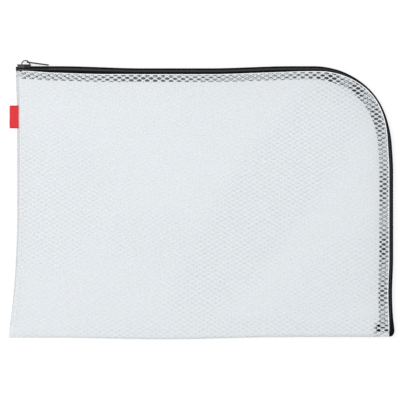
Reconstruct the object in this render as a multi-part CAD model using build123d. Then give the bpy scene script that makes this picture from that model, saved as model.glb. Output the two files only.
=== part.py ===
from build123d import *
import os
from math import asin, cos, degrees, pi, sin, sqrt

# Document wallet of net-reinforced vinyl with a coil zip round two sides.
# Millimetres. It lies on its back: X to the right, Y towards the zip's top run, Z up through the front.
# The origin is the middle of the back, on the surface that the wallet lies on.

# Wallet
wallet_width = 336.0
wallet_height = 242.0
wallet_thickness = 9.2
corner_thickness = 2.4
sheet = 0.4
sheet_corner_radius = 60.5
top_band = 4.8
side_band = 3.6
flare_width = 7.5
flare_height = 92.0
flare_power_share = 1.5
flare_steps = 3
fold_facets = 16
seam_facets = 8
seam_allowance = 4.0

# Line along which the front bends when it is lifted
lift_start_from_left = 29.8
lift_end_from_bottom = 12.8
lift_slit = 0.3

# Crease below which the fixed front falls towards the bottom left corner
crease_from_top = 14.0
crease_from_right = 17.0

# Label in the left seam
label_height = 20.2
label_reach = 6.2
label_tail = 3.6
label_thickness = 0.5
label_from_top = 34.3
label_gap = 0.6

# Tapes
tape = 0.5
tape_reach = 12.3
tape_gap = 3.0
tail_reach = 16.0
tail_length = 9.0
tape_overhang = 0.6
tape_end_gap = 0.2

# Chain
chain_corner_radius = 71.2
coil_depth = 2.0
coil_width = 2.4
coil_back = 0.7
mesh_depth = 0.6
tooth_pitch = 2.1
tooth_share = 0.42
back_phase_share = 0.25
front_phase_share = 0.75
chain_end_from_bottom = 12.0

# Slider
slider_length = 12.4
slider_width = 8.8
slider_rear_width = 6.4
slider_shoulder = 6.4
slider_park = 0.5
outer_plate = 1.2
inner_plate = 1.1
slider_wall = 0.7
slider_round = 1.2
post_width = 2.2
post_length = 4.4
post_inset = 1.4
running_gap = 0.2
crown_from_front = 3.5
crown_span = 8.0
crown_height = 4.0
crown_strap = 0.9
crown_width = 2.4

# Pull
pull_length = 19.5
pull_width = 6.4
pull_thickness = 1.1
pull_tip_width = 5.2
pull_round = 1.6
pull_pivot_from_crown = 5.35
eye_width = 3.2
eye_reach = 4.8
pull_rim = 0.9
pull_recess = 0.2
pull_rest_gap = 0.3

# Stops and end tab
stop_wall = 0.6
stop_height = 2.2
stop_overlap = 0.3
end_tab_reach = 1.4
end_tab_height = 5.2
end_tab_overrun = 2.1

cut_overrun = 5.0

# Places worked out from the sizes above
left = -wallet_width / 2
right = wallet_width / 2
top = wallet_height / 2
bottom = -wallet_height / 2
middle = wallet_thickness / 2

lift_start = Vector(left + lift_start_from_left, top)
lift_end = Vector(right, bottom + lift_end_from_bottom)
lift_along = (lift_end - lift_start).normalized()
lift_out = Vector(-lift_along.Y, lift_along.X)

corner_x = right - chain_corner_radius
corner_y = top - chain_corner_radius
tape_back = coil_depth + tape

slider_front = left + slider_park
post_front = slider_front + post_inset
mesh_start = post_front + post_length
chain_end = bottom + chain_end_from_bottom

crease_start = Vector(left + wallet_thickness / 2, top - crease_from_top)
crease_end = Vector(right - crease_from_right, bottom + wallet_thickness / 2)
crease_along = (crease_end - crease_start).normalized()
crease_out = Vector(-crease_along.Y, crease_along.X)
low_corner = Vector(left - flare_width, bottom)
fall_rate = (wallet_thickness - corner_thickness) / (crease_start - low_corner).dot(crease_out)
front_slope_x = fall_rate * crease_out.X
front_slope_y = fall_rate * crease_out.Y
front_level = wallet_thickness - front_slope_x * crease_start.X - front_slope_y * crease_start.Y


def front_height(x, y):
    """Height of the falling front's outer face above the surface."""
    return front_level + front_slope_x * x + front_slope_y * y


def lift_line_x(y, offset):
    """X of the line that runs beside the lift line, offset towards the flap, at a given Y."""
    return lift_start.X + (offset - (y - top) * lift_out.Y) / lift_out.X


def lift_line_y(x, offset):
    """Y of the line that runs beside the lift line, offset towards the flap, at a given X."""
    return top + (offset - (x - lift_start.X) * lift_out.X) / lift_out.Y


def left_edge(y):
    """X of the left seam, which flares towards the bottom corner."""
    below = max(0.0, bottom + flare_height - y)
    return left - flare_width * (below / flare_height) ** flare_power_share


def seam_height(y):
    """Wallet thickness where the front meets the left seam."""
    falling = front_height(left_edge(y), y) / (1 - front_slope_x / 2)
    return min(wallet_thickness, falling)


def fold_height(x):
    """Wallet thickness where the front meets the bottom fold."""
    falling = front_height(x, bottom) / (1 - front_slope_y / 2)
    return min(wallet_thickness, falling)


seam_top = top - top_band
fold_left = low_corner.X
fold_right = right - side_band
seam_bottom = bottom + fold_height(fold_left + corner_thickness) / 2
flare_top = bottom + flare_height
flare_stations = [
    flare_top - (flare_top - seam_bottom) * step / flare_steps for step in range(flare_steps + 1)
]
seam_stations = [seam_top, crease_start.Y] + flare_stations
seam_inner = [(left_edge(y) + seam_height(y) / 2, y) for y in seam_stations]
fold_stations = [fold_left, crease_end.X, fold_right]
tape_start = left - tape_overhang
tape_inside_start = seam_inner[0][0] + tape_end_gap
tape_end = bottom + wallet_thickness / 2 + tape_end_gap


def slab(points, depth, direction):
    """Flat polygon through points in space, thickened along a direction."""
    face = Face(Wire.make_polygon([Vector(*point) for point in points], close=True))
    return extrude(face, amount=depth, dir=direction)


def prism(points, low, high):
    """Plan polygon that stands between two heights."""
    return slab([(x, y, low) for x, y in points], high - low, (0, 0, 1))


def block(low, high):
    """Box between two opposite corners."""
    size = [upper - lower for lower, upper in zip(low, high)]
    centre = [(upper + lower) / 2 for lower, upper in zip(low, high)]
    return Pos(*centre) * Box(*size)


def arc_points(radius, first, last, facets):
    """Points of a faceted arc about the origin, from one angle to another."""
    turns = [first + (last - first) * step / facets for step in range(facets + 1)]
    return [(radius * cos(turn), radius * sin(turn)) for turn in turns]


def to_front(solid):
    """Mirror image of a back piece of the zip, on the front side of the chain."""
    return mirror(solid, about=Plane(origin=(0, 0, middle), z_dir=(0, 0, 1)))


def half_space(offset, towards_flap):
    """Everything on one side of the lift line."""
    reach = wallet_width + wallet_height
    side = lift_out * (reach if towards_flap else -reach)
    base = lift_start + lift_out * offset
    corners = [base - lift_along * reach, base + lift_along * reach]
    corners += [corners[1] + side, corners[0] + side]
    low = -cut_overrun
    return prism([(corner.X, corner.Y) for corner in corners], low, wallet_thickness + cut_overrun)


def back_panel():
    """Back of the wallet: a flat sheet with a round corner at the top right."""
    right_edge = right - side_band
    top_edge = top - top_band
    arc_x = right_edge - sheet_corner_radius
    arc_y = top_edge - sheet_corner_radius
    fold = [(crease_end.X, crease_end.Y), (right_edge, crease_end.Y)]
    side = Polyline((arc_x, top_edge), *seam_inner, *fold, (right_edge, arc_y))
    corner = CenterArc((arc_x, arc_y), sheet_corner_radius, 0, 90)
    return extrude(make_face([side, corner]), amount=sheet, dir=(0, 0, 1))


def front_panel():
    """Fixed part of the front: level beside the zip, then falling to the bottom left corner."""
    right_edge = right - side_band
    crease = [(crease_start.X, crease_start.Y), (crease_end.X, crease_end.Y)]
    level = [(lift_line_x(seam_top, -lift_slit), seam_top), seam_inner[0]] + crease
    level.append((right_edge, crease_end.Y))
    level.append((right_edge, lift_line_y(right_edge, -lift_slit)))
    beside_zip = prism(level, wallet_thickness - sheet, wallet_thickness)
    falling = crease[:1] + seam_inner[2:] + crease[1:]
    raised = [(x, y, front_height(x, y)) for x, y in falling]
    return beside_zip + slab(raised, sheet, (0, 0, -1))


def front_flap():
    """Upper right part of the front, which lifts along the diagonal."""
    right_edge = right - side_band
    top_edge = top - top_band
    arc_x = right_edge - sheet_corner_radius
    arc_y = top_edge - sheet_corner_radius
    first = (lift_line_x(top_edge, lift_slit), top_edge)
    last = (right_edge, lift_line_y(right_edge, lift_slit))
    straight = Polyline((arc_x, top_edge), first, last, (right_edge, arc_y))
    corner = CenterArc((arc_x, arc_y), sheet_corner_radius, 0, 90)
    flap = extrude(make_face([straight, corner]), amount=sheet, dir=(0, 0, 1))
    return Pos(0, 0, wallet_thickness - sheet) * flap


def bottom_fold():
    """Round fold at the bottom, which narrows from the zip's end to the left corner."""
    sections = []
    for x in fold_stations:
        radius = fold_height(x) / 2
        plane = Plane(origin=(x, bottom + radius, radius), x_dir=(0, 1, 0), z_dir=(1, 0, 0))
        outer = arc_points(radius, pi / 2, pi + pi / 2, fold_facets)
        inner = arc_points(radius - sheet, pi + pi / 2, pi / 2, fold_facets)
        outline = Polyline(*outer, *inner, close=True)
        sections.append((plane * make_face(outline)).face())
    return loft(sections, ruled=True)


def seam_section(y, front):
    """Turned edge of one side of the left seam: a quarter round with its allowance folded inside."""
    height = seam_height(y)
    half = height / 2 - label_gap / 2
    edge = left_edge(y)
    inner = half - sheet
    reach = height / 2
    turn = pi + asin(sheet / inner)
    outer_round = arc_points(half, pi + pi / 2, pi, seam_facets)
    inner_round = arc_points(inner, turn, pi + pi / 2, seam_facets)
    points = [(reach, 0)]
    points += [(half + x, half + z) for x, z in outer_round]
    points += [(seam_allowance, half), (seam_allowance, half - sheet)]
    points += [(half + x, half + z) for x, z in inner_round]
    points.append((reach, sheet))
    outline = [(edge + x, (height - z) if front else z) for x, z in points]
    plane = Plane(origin=(0, y, 0), x_dir=(1, 0, 0), z_dir=(0, -1, 0))
    return (plane * make_face(Polyline(*outline, close=True))).face()


def left_seam(front):
    """One turned edge of the left seam, from the zip down to the flared corner."""
    return loft([seam_section(y, front) for y in seam_stations], ruled=True)


def side_label():
    """Folded cloth label that stands out of the left seam, with its tails caught between the edges."""
    high = top - label_from_top
    low = high - label_height
    corners = []
    for y in (high, low):
        level = seam_height(y) / 2 + label_thickness / 2
        ends = [left - label_reach, left + label_tail]
        if y == low:
            ends.reverse()
        corners += [(x, y, level) for x in ends]
    label = slab(corners, label_thickness, (0, 0, -1))
    fold = label.edges().group_by(Axis.X)[0].filter_by(Axis.Z, reverse=True)
    return fillet(fold, label_thickness / 3)


def tape_profile(plane):
    """Section of a back tape: a leg up to the chain and a leg laid inside the sheet."""
    rise = middle - tape_gap / 2
    points = [
        (-tape_reach, sheet),
        (-coil_depth, sheet),
        (-coil_depth, rise),
        (-tape_back, rise),
        (-tape_back, sheet + tape),
        (-tape_reach, sheet + tape),
    ]
    return plane * make_face(Polyline(*points, close=True))


def back_tape_top():
    """Back tape along the top, whose end reaches past the left seam to the stops."""
    plane = Plane(origin=(tape_inside_start, top, 0), x_dir=(0, 1, 0), z_dir=(1, 0, 0))
    run = extrude(tape_profile(plane), amount=corner_x - tape_inside_start)
    lip_low = top - top_band + tape_end_gap
    lip = block((tape_start, lip_low, sheet), (tape_inside_start, top - coil_depth, sheet + tape))
    rise = middle - tape_gap / 2
    leg = block((tape_start, top - tape_back, sheet), (tape_inside_start, top - coil_depth, rise))
    return run + lip + leg


def tape_corner():
    """Back tape round the corner, turned about the corner's centre."""
    plane = Plane(origin=(corner_x, top, 0), x_dir=(0, 1, 0), z_dir=(1, 0, 0))
    axis = Axis((corner_x, corner_y, 0), (0, 0, -1))
    return revolve(tape_profile(plane), axis=axis, revolution_arc=90)


def tape_side():
    """Back tape down the right side."""
    plane = Plane(origin=(right, tape_end, 0), x_dir=(1, 0, 0), z_dir=(0, -1, 0))
    return extrude(tape_profile(plane), amount=corner_y - tape_end, dir=(0, 1, 0))


def front_tape_end():
    """End of the front tape below the lift line, with its wider tail turned inside."""
    inner = right - tape_reach
    tail = right - tail_reach
    tail_top = tape_end + tail_length
    plan = [(inner, tape_end), (inner, tail_top), (tail, (tail_top + tape_end) / 2), (tail, tape_end)]
    under = wallet_thickness - sheet
    return to_front(tape_side()) + prism(plan, under - tape, under)


def tooth_places(length, phase_share):
    """Distances along a run at which the teeth of one row stand."""
    count = round(length / tooth_pitch)
    step = length / count
    return [(index + phase_share) * step for index in range(count)]


def comb_outline(length, shift):
    """Row of teeth along a straight run, as distance and height, with its back towards the sheet."""
    head = middle + mesh_depth / 2 - shift
    back = head - coil_width
    root = back + coil_back
    half = tooth_pitch * tooth_share / 2
    points = [(0, back), (0, root)]
    for place in tooth_places(length, back_phase_share):
        points += [(place - half, root), (place - half, head), (place + half, head), (place + half, root)]
    return points + [(length, root), (length, back)]


def comb_top(start, end, shift, front):
    """Row of teeth along the top run."""
    length = end - start
    points = []
    for distance, height in comb_outline(length, shift):
        if front:
            points.append((end - distance, top - coil_depth, wallet_thickness - height))
        else:
            points.append((start + distance, top - coil_depth, height))
    return slab(points, coil_depth, (0, 1, 0))


def comb_side(front):
    """Row of teeth down the right side."""
    length = corner_y - chain_end
    points = []
    for distance, height in comb_outline(length, 0):
        if front:
            points.append((right - coil_depth, chain_end + distance, wallet_thickness - height))
        else:
            points.append((right - coil_depth, corner_y - distance, height))
    return slab(points, coil_depth, (1, 0, 0))


def comb_corner(front):
    """Row of teeth round the corner."""
    outer = chain_corner_radius
    inner = outer - coil_depth
    head = middle + mesh_depth / 2
    back = head - coil_width
    root = back + coil_back
    plane = Plane(origin=(corner_x, corner_y, 0), x_dir=(0, 1, 0), z_dir=(1, 0, 0))
    section = Polyline((inner, back), (outer, back), (outer, root), (inner, root), close=True)
    axis = Axis((corner_x, corner_y, 0), (0, 0, -1))
    band = revolve(plane * make_face(section), axis=axis, revolution_arc=90)
    half = tooth_pitch * tooth_share / outer / 2
    teeth = []
    phase_share = front_phase_share if front else back_phase_share
    for place in tooth_places(outer * pi / 2, phase_share):
        angle = pi / 2 - place / outer
        plan = []
        for turn, radius in ((-half, inner), (half, inner), (half, outer), (-half, outer)):
            plan.append((corner_x + radius * cos(angle + turn), corner_y + radius * sin(angle + turn)))
        teeth.append(prism(plan, root, head))
    comb = band.fuse(*teeth)
    return to_front(comb) if front else comb


def coil_spread():
    """How far each row is pushed aside where it passes the slider's wedge."""
    return mesh_depth / 2 + post_width / 2 + running_gap / 2


def start_stops():
    """Two clamps on the tape ends, where the closed slider comes to rest."""
    stop_end = slider_front - running_gap
    edge = middle - tape_gap / 2
    low = edge + stop_overlap - stop_height
    body = block(
        (tape_start, top - tape_back - stop_wall, low),
        (stop_end, top - stop_wall, edge + stop_overlap),
    )
    slot = block(
        (tape_start - cut_overrun, top - tape_back, low - cut_overrun),
        (stop_end + cut_overrun, top - coil_depth, edge),
    )
    stop = body - slot
    return Compound(children=[stop.solid(), to_front(stop).solid()])


def zip_end_tab():
    """Cloth end that closes the chain, which flares a little and is rounded at the bottom."""
    inner = right - coil_depth
    start = chain_end - running_gap
    outer = right + end_tab_reach
    low = tape_end - end_tab_overrun
    round_radius = end_tab_reach + coil_depth
    belly = low + round_radius
    outline = [
        Line((inner, start), (right, start)),
        Line((right, start), (outer, belly)),
        CenterArc((inner, belly), round_radius, -90, 90),
        Line((inner, low), (inner, start)),
    ]
    tab = extrude(make_face(outline), amount=end_tab_height, dir=(0, 0, 1))
    return Pos(0, 0, middle - end_tab_height / 2) * tab


def slider_plan(front_half, rear_half):
    """Plan of a slider plate, as seen from outside the zip: wide in front and narrow behind."""
    front = slider_front
    shoulder = slider_front + slider_shoulder
    rear = slider_front + slider_length
    plane = Plane(origin=(0, top, middle), x_dir=(1, 0, 0), z_dir=(0, 1, 0))
    points = [
        (front, -front_half),
        (shoulder, -front_half),
        (rear, -rear_half),
        (rear, rear_half),
        (shoulder, front_half),
        (front, front_half),
    ]
    plate = make_face(Polyline(*points, close=True))
    rounded = fillet(plate.vertices(), slider_round)
    return plane * rounded


def slider_walls():
    """Side walls of the outer plate, which hold the chain between them."""
    front = slider_front + slider_round
    shoulder = slider_front + slider_shoulder
    rear = slider_front + slider_length - slider_round
    wide = slider_width / 2
    taper = (slider_width - slider_rear_width) / 2 / (slider_length - slider_shoulder)
    narrow = wide - taper * (rear - shoulder)
    low = top - coil_depth + running_gap
    outline = [(front, wide), (shoulder, wide), (rear, narrow)]
    outline += [(rear, narrow - slider_wall), (shoulder, wide - slider_wall), (front, wide - slider_wall)]
    depth = top + running_gap + outer_plate / 2 - low
    wall = slab([(x, low, middle - z) for x, z in outline], depth, (0, 1, 0))
    return [wall, to_front(wall)]


def slider_post():
    """Wedge between the plates that parts the two rows of teeth."""
    half = post_width / 2
    nose = post_length / 3
    points = [
        (post_front, 0),
        (post_front + nose, half),
        (post_front + post_length, 0),
        (post_front + nose, -half),
    ]
    low = top - tape_back - running_gap - inner_plate / 2
    high = top + running_gap + outer_plate / 2
    return slab([(x, low, middle + z) for x, z in points], high - low, (0, 1, 0))


def slider_crown():
    """Arch on the outer plate that carries the pull."""
    plate_top = top + running_gap + outer_plate
    start = slider_front + crown_from_front
    end = start + crown_span
    centre = (start + end) / 2
    root = plate_top - outer_plate / 2
    inner_start = start + crown_strap
    inner_end = end - crown_strap
    outline = [
        Line((start, root), (start, plate_top)),
        ThreePointArc((start, plate_top), (centre, plate_top + crown_height), (end, plate_top)),
        Line((end, plate_top), (end, root)),
        Line((end, root), (inner_end, root)),
        Line((inner_end, root), (inner_end, plate_top)),
        ThreePointArc(
            (inner_end, plate_top),
            (centre, plate_top + crown_height - crown_strap),
            (inner_start, plate_top),
        ),
        Line((inner_start, plate_top), (inner_start, root)),
        Line((inner_start, root), (start, root)),
    ]
    arch = extrude(make_face(outline), amount=crown_width, dir=(0, 0, 1))
    return Pos(0, 0, middle - crown_width / 2) * arch


def slider_body():
    """Slider: outer plate with walls and crown, wedge, and the plate inside the tapes."""
    wide = slider_width / 2
    narrow = slider_rear_width / 2
    outer = extrude(slider_plan(wide, narrow), amount=outer_plate, dir=(0, 1, 0))
    outer = Pos(0, running_gap, 0) * outer
    rim = outer.faces().sort_by(Axis.Y)[-1].edges()
    outer = chamfer(rim, outer_plate / 3)
    inside = middle - sheet - tape - running_gap
    inner_narrow = min(narrow, inside)
    inner = extrude(slider_plan(inside, inner_narrow), amount=inner_plate, dir=(0, -1, 0))
    inner = Pos(0, -tape_back - running_gap, 0) * inner
    return outer.fuse(*slider_walls(), slider_post(), slider_crown(), inner)


def pull_pivot():
    """Axis of the pull, whose bar rests against the inside of the crown's arch."""
    plate_top = top + running_gap + outer_plate
    rise = crown_height - crown_strap
    half_span = crown_span / 2 - crown_strap
    arch_radius = (half_span ** 2 + rise ** 2) / (2 * rise)
    arch_y = plate_top + rise - arch_radius
    x = slider_front + crown_from_front + pull_pivot_from_crown
    from_centre = pull_pivot_from_crown - crown_span / 2
    orbit = arch_radius - pull_thickness / 2 - running_gap / 2
    return Vector(x, arch_y + sqrt(orbit ** 2 - from_centre ** 2), middle)


def pull_tab():
    """Pull: a flat tab with a shallow panel, and an eye whose bar lies in the crown."""
    half = pull_width / 2
    tip = pull_tip_width / 2
    plane = Plane(origin=(0, 0, 0), x_dir=(1, 0, 0), z_dir=(0, 1, 0))
    points = [(0, -half), (pull_length, -tip), (pull_length, tip), (0, half)]
    plate = make_face(Polyline(*points, close=True))
    ends = plate.vertices().group_by(Axis.X)[-1]
    plate = fillet(ends, pull_round)
    tab = extrude(plane * plate, amount=pull_thickness / 2, both=True)
    tab -= Pos(eye_reach / 2, 0, 0) * Box(eye_reach, pull_thickness + cut_overrun, eye_width)
    tab += Cylinder(pull_thickness / 2, pull_width)
    panel_start = eye_reach + pull_rim
    panel_end = pull_length - pull_rim
    panel_half = tip - pull_rim
    face = pull_thickness / 2
    for side in (-1, 1):
        inner = (panel_start, side * (face - pull_recess), -panel_half)
        outer = (panel_end, side * (face + cut_overrun), panel_half)
        low = [min(pair) for pair in zip(inner, outer)]
        high = [max(pair) for pair in zip(inner, outer)]
        tab -= block(low, high)
    pivot = pull_pivot()
    drop = pivot.Y - top - pull_thickness / 2 - pull_rest_gap
    droop = degrees(asin(drop / pull_length))
    return Pos(pivot) * Rot(0, 0, -droop) * tab


def build_parts():
    """Every piece of the wallet by name."""
    flap_side = half_space(lift_slit, True)
    fixed_side = half_space(-lift_slit, False)
    spread = coil_spread()
    front_row = comb_top(mesh_start, corner_x, 0, True)
    return {
        "back_panel": back_panel(),
        "bottom_fold": bottom_fold(),
        "front_panel": front_panel(),
        "front_flap": front_flap(),
        "left_seam_back": left_seam(False),
        "left_seam_front": left_seam(True),
        "side_label": side_label(),
        "back_tape_top": back_tape_top(),
        "back_tape_corner": tape_corner(),
        "back_tape_side": tape_side(),
        "front_tape_start": to_front(back_tape_top()) & fixed_side,
        "front_tape_top": to_front(back_tape_top()) & flap_side,
        "front_tape_corner": to_front(tape_corner()),
        "front_tape_side": to_front(tape_side()) & flap_side,
        "front_tape_end": front_tape_end() & fixed_side,
        "back_coil_mouth": comb_top(slider_front, mesh_start, spread, False),
        "back_coil_top": comb_top(mesh_start, corner_x, 0, False),
        "back_coil_corner": comb_corner(False),
        "back_coil_side": comb_side(False),
        "front_coil_mouth": comb_top(slider_front, mesh_start, spread, True),
        "front_coil_start": front_row & fixed_side,
        "front_coil_top": front_row & flap_side,
        "front_coil_corner": comb_corner(True),
        "front_coil_side": comb_side(True) & flap_side,
        "start_stops": start_stops(),
        "zip_end_tab": zip_end_tab(),
        "slider_body": slider_body(),
        "pull_tab": pull_tab(),
    }


def main():
    os.makedirs("parts", exist_ok=True)
    for name, solid in build_parts().items():
        export_step(solid, os.path.join("parts", name + ".step"))


main()
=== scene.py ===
"""Looks of a net-vinyl document wallet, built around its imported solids.

Sizes are in millimetres unless a line says otherwise. The wallet lies on its back: X runs along the zip's
top run, Y up the front towards it, and Z out of the front.
"""

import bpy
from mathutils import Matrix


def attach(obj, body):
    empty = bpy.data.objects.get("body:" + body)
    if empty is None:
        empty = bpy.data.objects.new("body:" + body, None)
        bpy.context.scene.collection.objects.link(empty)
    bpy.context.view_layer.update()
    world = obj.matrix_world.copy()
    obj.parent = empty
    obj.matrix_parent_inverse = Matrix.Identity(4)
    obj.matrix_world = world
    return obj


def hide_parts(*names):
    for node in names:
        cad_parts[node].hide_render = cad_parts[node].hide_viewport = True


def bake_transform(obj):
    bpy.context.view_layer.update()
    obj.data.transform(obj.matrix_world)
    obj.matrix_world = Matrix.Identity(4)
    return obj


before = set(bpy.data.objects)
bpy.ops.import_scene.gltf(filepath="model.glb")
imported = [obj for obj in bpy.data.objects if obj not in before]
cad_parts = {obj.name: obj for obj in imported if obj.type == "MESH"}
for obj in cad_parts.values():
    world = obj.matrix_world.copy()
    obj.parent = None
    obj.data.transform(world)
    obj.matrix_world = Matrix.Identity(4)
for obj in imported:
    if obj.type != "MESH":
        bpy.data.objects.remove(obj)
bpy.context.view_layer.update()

import logging
from collections.abc import Callable
from dataclasses import dataclass, field
from enum import Enum, IntEnum
from math import pi

import bpy
import numpy as np
from mathutils import Vector
from mathutils.geometry import delaunay_2d_cdt

MM = 0.001
TURN = 2.0 * pi
QUARTER = pi / 2.0
LOG = logging.getLogger("wallet")

# Kind of triangulation that keeps only the faces inside an outline.
INSIDE_ONLY = 1

# Each mesh keeps its flat coordinates as shares of this length.
FLAT_SPAN = 100.0
FLAT_MAP = "Flat"
CONTACT_MAP = "Contact"

# Detail of a soft and of a fine noise, and the ranges that most of a noise and all of a wave lie in.
SOFT_DETAIL = 2.0
FINE_DETAIL = 3.0
NOISE_CORE = (0.3, 0.7)
NOISE_WIDE = (0.25, 0.75)
WAVE_RANGE = (-1.0, 1.0)
WHOLE_RANGE = (0.0, 1.0)

Colour = tuple[float, float, float, float]
Point = tuple[float, float]
Span = tuple[float, float]

WHITE: Colour = (1.0, 1.0, 1.0, 1.0)


class Face(Enum):
    """The two faces of the wallet."""

    FRONT = "front"
    BACK = "back"

    @property
    def side(self) -> float:
        """Direction out of the wallet: 1 on the front and -1 on the back."""
        return 1.0 if self is Face.FRONT else -1.0


class Body(Enum):
    """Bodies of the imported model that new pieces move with."""

    BASE = "base"
    FLAP = "flap"


class Slot(Enum):
    """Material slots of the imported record."""

    VINYL = "mesh_vinyl"
    TAPE = "zip_tape"
    COIL = "zip_coil"
    METAL = "zip_metal"
    LABEL = "label_cloth"


class SheetPart(IntEnum):
    """Parts of a sheet with finishes of their own, in the order of its materials."""

    OPEN = 0
    # The hem and the seam edge wear copies of the net with painted shade.
    HEM = 1
    SEAM = 2


class TapePart(IntEnum):
    """Parts of a zip tape with finishes of their own, in the order of its materials."""

    RIDGE = 0
    # Strip beside the sheet's edge, dressed in the painted-shade copy of the tape.
    BORDER = 1


def share_along(low: float, high: float, value: np.ndarray) -> np.ndarray:
    """Share of the way from low to high, held between 0 and 1."""
    return np.clip((np.asarray(value, float) - low) / (high - low), 0.0, 1.0)


def ease(low: float, high: float, value: np.ndarray) -> np.ndarray:
    """Smooth rise from 0 at low to 1 at high."""
    share = share_along(low, high, value)
    return share * share * (3.0 - 2.0 * share)


def swell(low: float, high: float, value: np.ndarray) -> np.ndarray:
    """Single smooth hump from 0 at low, over 1, to 0 at high."""
    return np.sin(pi * share_along(low, high, value)) ** 2


def paired(x: np.ndarray | float, y: np.ndarray | float) -> np.ndarray:
    """Rows of X and Y, where one of them may be a single value for all rows."""
    return np.stack(np.broadcast_arrays(x, y), axis=-1)


def ring_turns(sides: int) -> np.ndarray:
    """Angles of the corners of a ring."""
    return np.linspace(0.0, TURN, sides, endpoint=False)


def flat_grid(rows: np.ndarray, columns: np.ndarray) -> np.ndarray:
    """Flat coordinates of a grid, from those of its rows and of its columns."""
    return np.stack(np.meshgrid(rows, columns, indexing="ij"), axis=-1)


def rotated(points: np.ndarray, degrees: float) -> np.ndarray:
    """Plan points turned about the origin.

    Args:
        points: Rows of X and Y.
        degrees: Angle of the turn.

    Returns:
        The turned rows.
    """
    turn = np.radians(degrees)
    spin = np.array([[np.cos(turn), np.sin(turn)], [-np.sin(turn), np.cos(turn)]])
    return points @ spin


def inside_round(x: np.ndarray, y: np.ndarray, right: float, top: float, radius: float) -> np.ndarray:
    """Distance in from a line along a top, round a corner and down a right side.

    Args:
        x: Plan X.
        y: Plan Y.
        right: X of the right side.
        top: Y of the top.
        radius: Radius of the corner.

    Returns:
        The distance, negative outside the line.
    """
    x, y = np.asarray(x, float), np.asarray(y, float)
    corner_x, corner_y = right - radius, top - radius
    round_part = radius - np.hypot(x - corner_x, y - corner_y)
    straight = np.minimum(right - x, top - y)
    return np.where((x > corner_x) & (y > corner_y), round_part, straight)


@dataclass(frozen=True)
class SlackPlace:
    """Long round place where the front hangs slack, close over the back, so that its windows read darker."""

    middle: Point
    turn: float
    half_length: float
    half_width: float
    strength: float
    fade: Span = (0.65, 1.3)

    def share(self, x: np.ndarray, y: np.ndarray) -> np.ndarray:
        """Share by which the front lies close to the back here.

        Args:
            x: Plan X.
            y: Plan Y.

        Returns:
            The share, from 0 outside the place to its strength in the middle.
        """
        away = rotated(paired(x, y) - np.array(self.middle), -self.turn)
        out = np.hypot(away[..., 0] / self.half_length, away[..., 1] / self.half_width)
        return self.strength * (1.0 - ease(*self.fade, out))


@dataclass(frozen=True)
class Ripple:
    """One long, low wave of the laid sheet: its height, its turns across X and Y, and where it starts."""

    height: float
    rate: Point
    start: float

    def rise(self, x: np.ndarray, y: np.ndarray) -> np.ndarray:
        """Height of the wave at a place."""
        return self.height * np.sin(self.rate[0] * x + self.rate[1] * y + self.start)


@dataclass(frozen=True)
class EdgeBow:
    """Slight bow of the wallet's edges: how far each stretch moves, and the spans that it fades over."""

    top_sag: float = 1.9
    top_sag_start: Span = (-130.0, -55.0)
    top_sag_end: Span = (5.0, 76.0)
    top_sag_from: float = 30.0
    fold_sag: float = 1.3
    fold_sag_span: Span = (-135.0, 60.0)
    low_sag: float = 0.7
    low_sag_end: Span = (-20.0, 110.0)
    low_sag_to: float = -60.0
    head_rise: float = 1.3
    head_rise_to: float = -136.0
    neck_dip: float = 1.1
    neck_span: Span = (-160.0, -58.0)
    shoulder_rise: float = 0.8
    shoulder_rise_span: Span = (60.0, 130.0)
    head_from: float = 92.0
    chain_fade: Span = (0.2, 3.2)
    side_sag: float = 0.9
    side_sag_span: Span = (-114.0, -50.0)
    shoulder_sag: float = 1.7
    shoulder_sag_span: Span = (26.0, 104.0)
    side_from: float = 70.0

    def moved(self, points: np.ndarray, plan: "WalletPlan") -> np.ndarray:
        """Points moved by the bow.

        Args:
            points: Rows of X, Y and Z.
            plan: The wallet's plan, for its edges.

        Returns:
            The moved rows.
        """
        x, y = points[:, 0], points[:, 1]
        bowed = points.copy()
        top = self.top_sag * ease(*self.top_sag_start, x) * (1.0 - ease(*self.top_sag_end, x))
        bowed[:, 1] -= top * ease(self.top_sag_from, plan.edge_y, y)
        low = self.fold_sag * swell(*self.fold_sag_span, x)
        low += self.low_sag * (1.0 - ease(*self.low_sag_end, x))
        bowed[:, 1] -= low * (1.0 - ease(plan.bottom, self.low_sag_to, y))
        head = self.head_rise * (1.0 - ease(plan.left, self.head_rise_to, x))
        head -= self.neck_dip * swell(*self.neck_span, x)
        head += self.shoulder_rise * swell(*self.shoulder_rise_span, x)
        below_chain = 1.0 - ease(*self.chain_fade, y - plan.edge_y)
        bowed[:, 1] += head * ease(self.head_from, plan.edge_y, y) * below_chain
        side = self.side_sag * swell(*self.side_sag_span, y)
        side += self.shoulder_sag * swell(*self.shoulder_sag_span, y)
        bowed[:, 0] -= side * ease(self.side_from, plan.edge_x, x)
        return bowed


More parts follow.
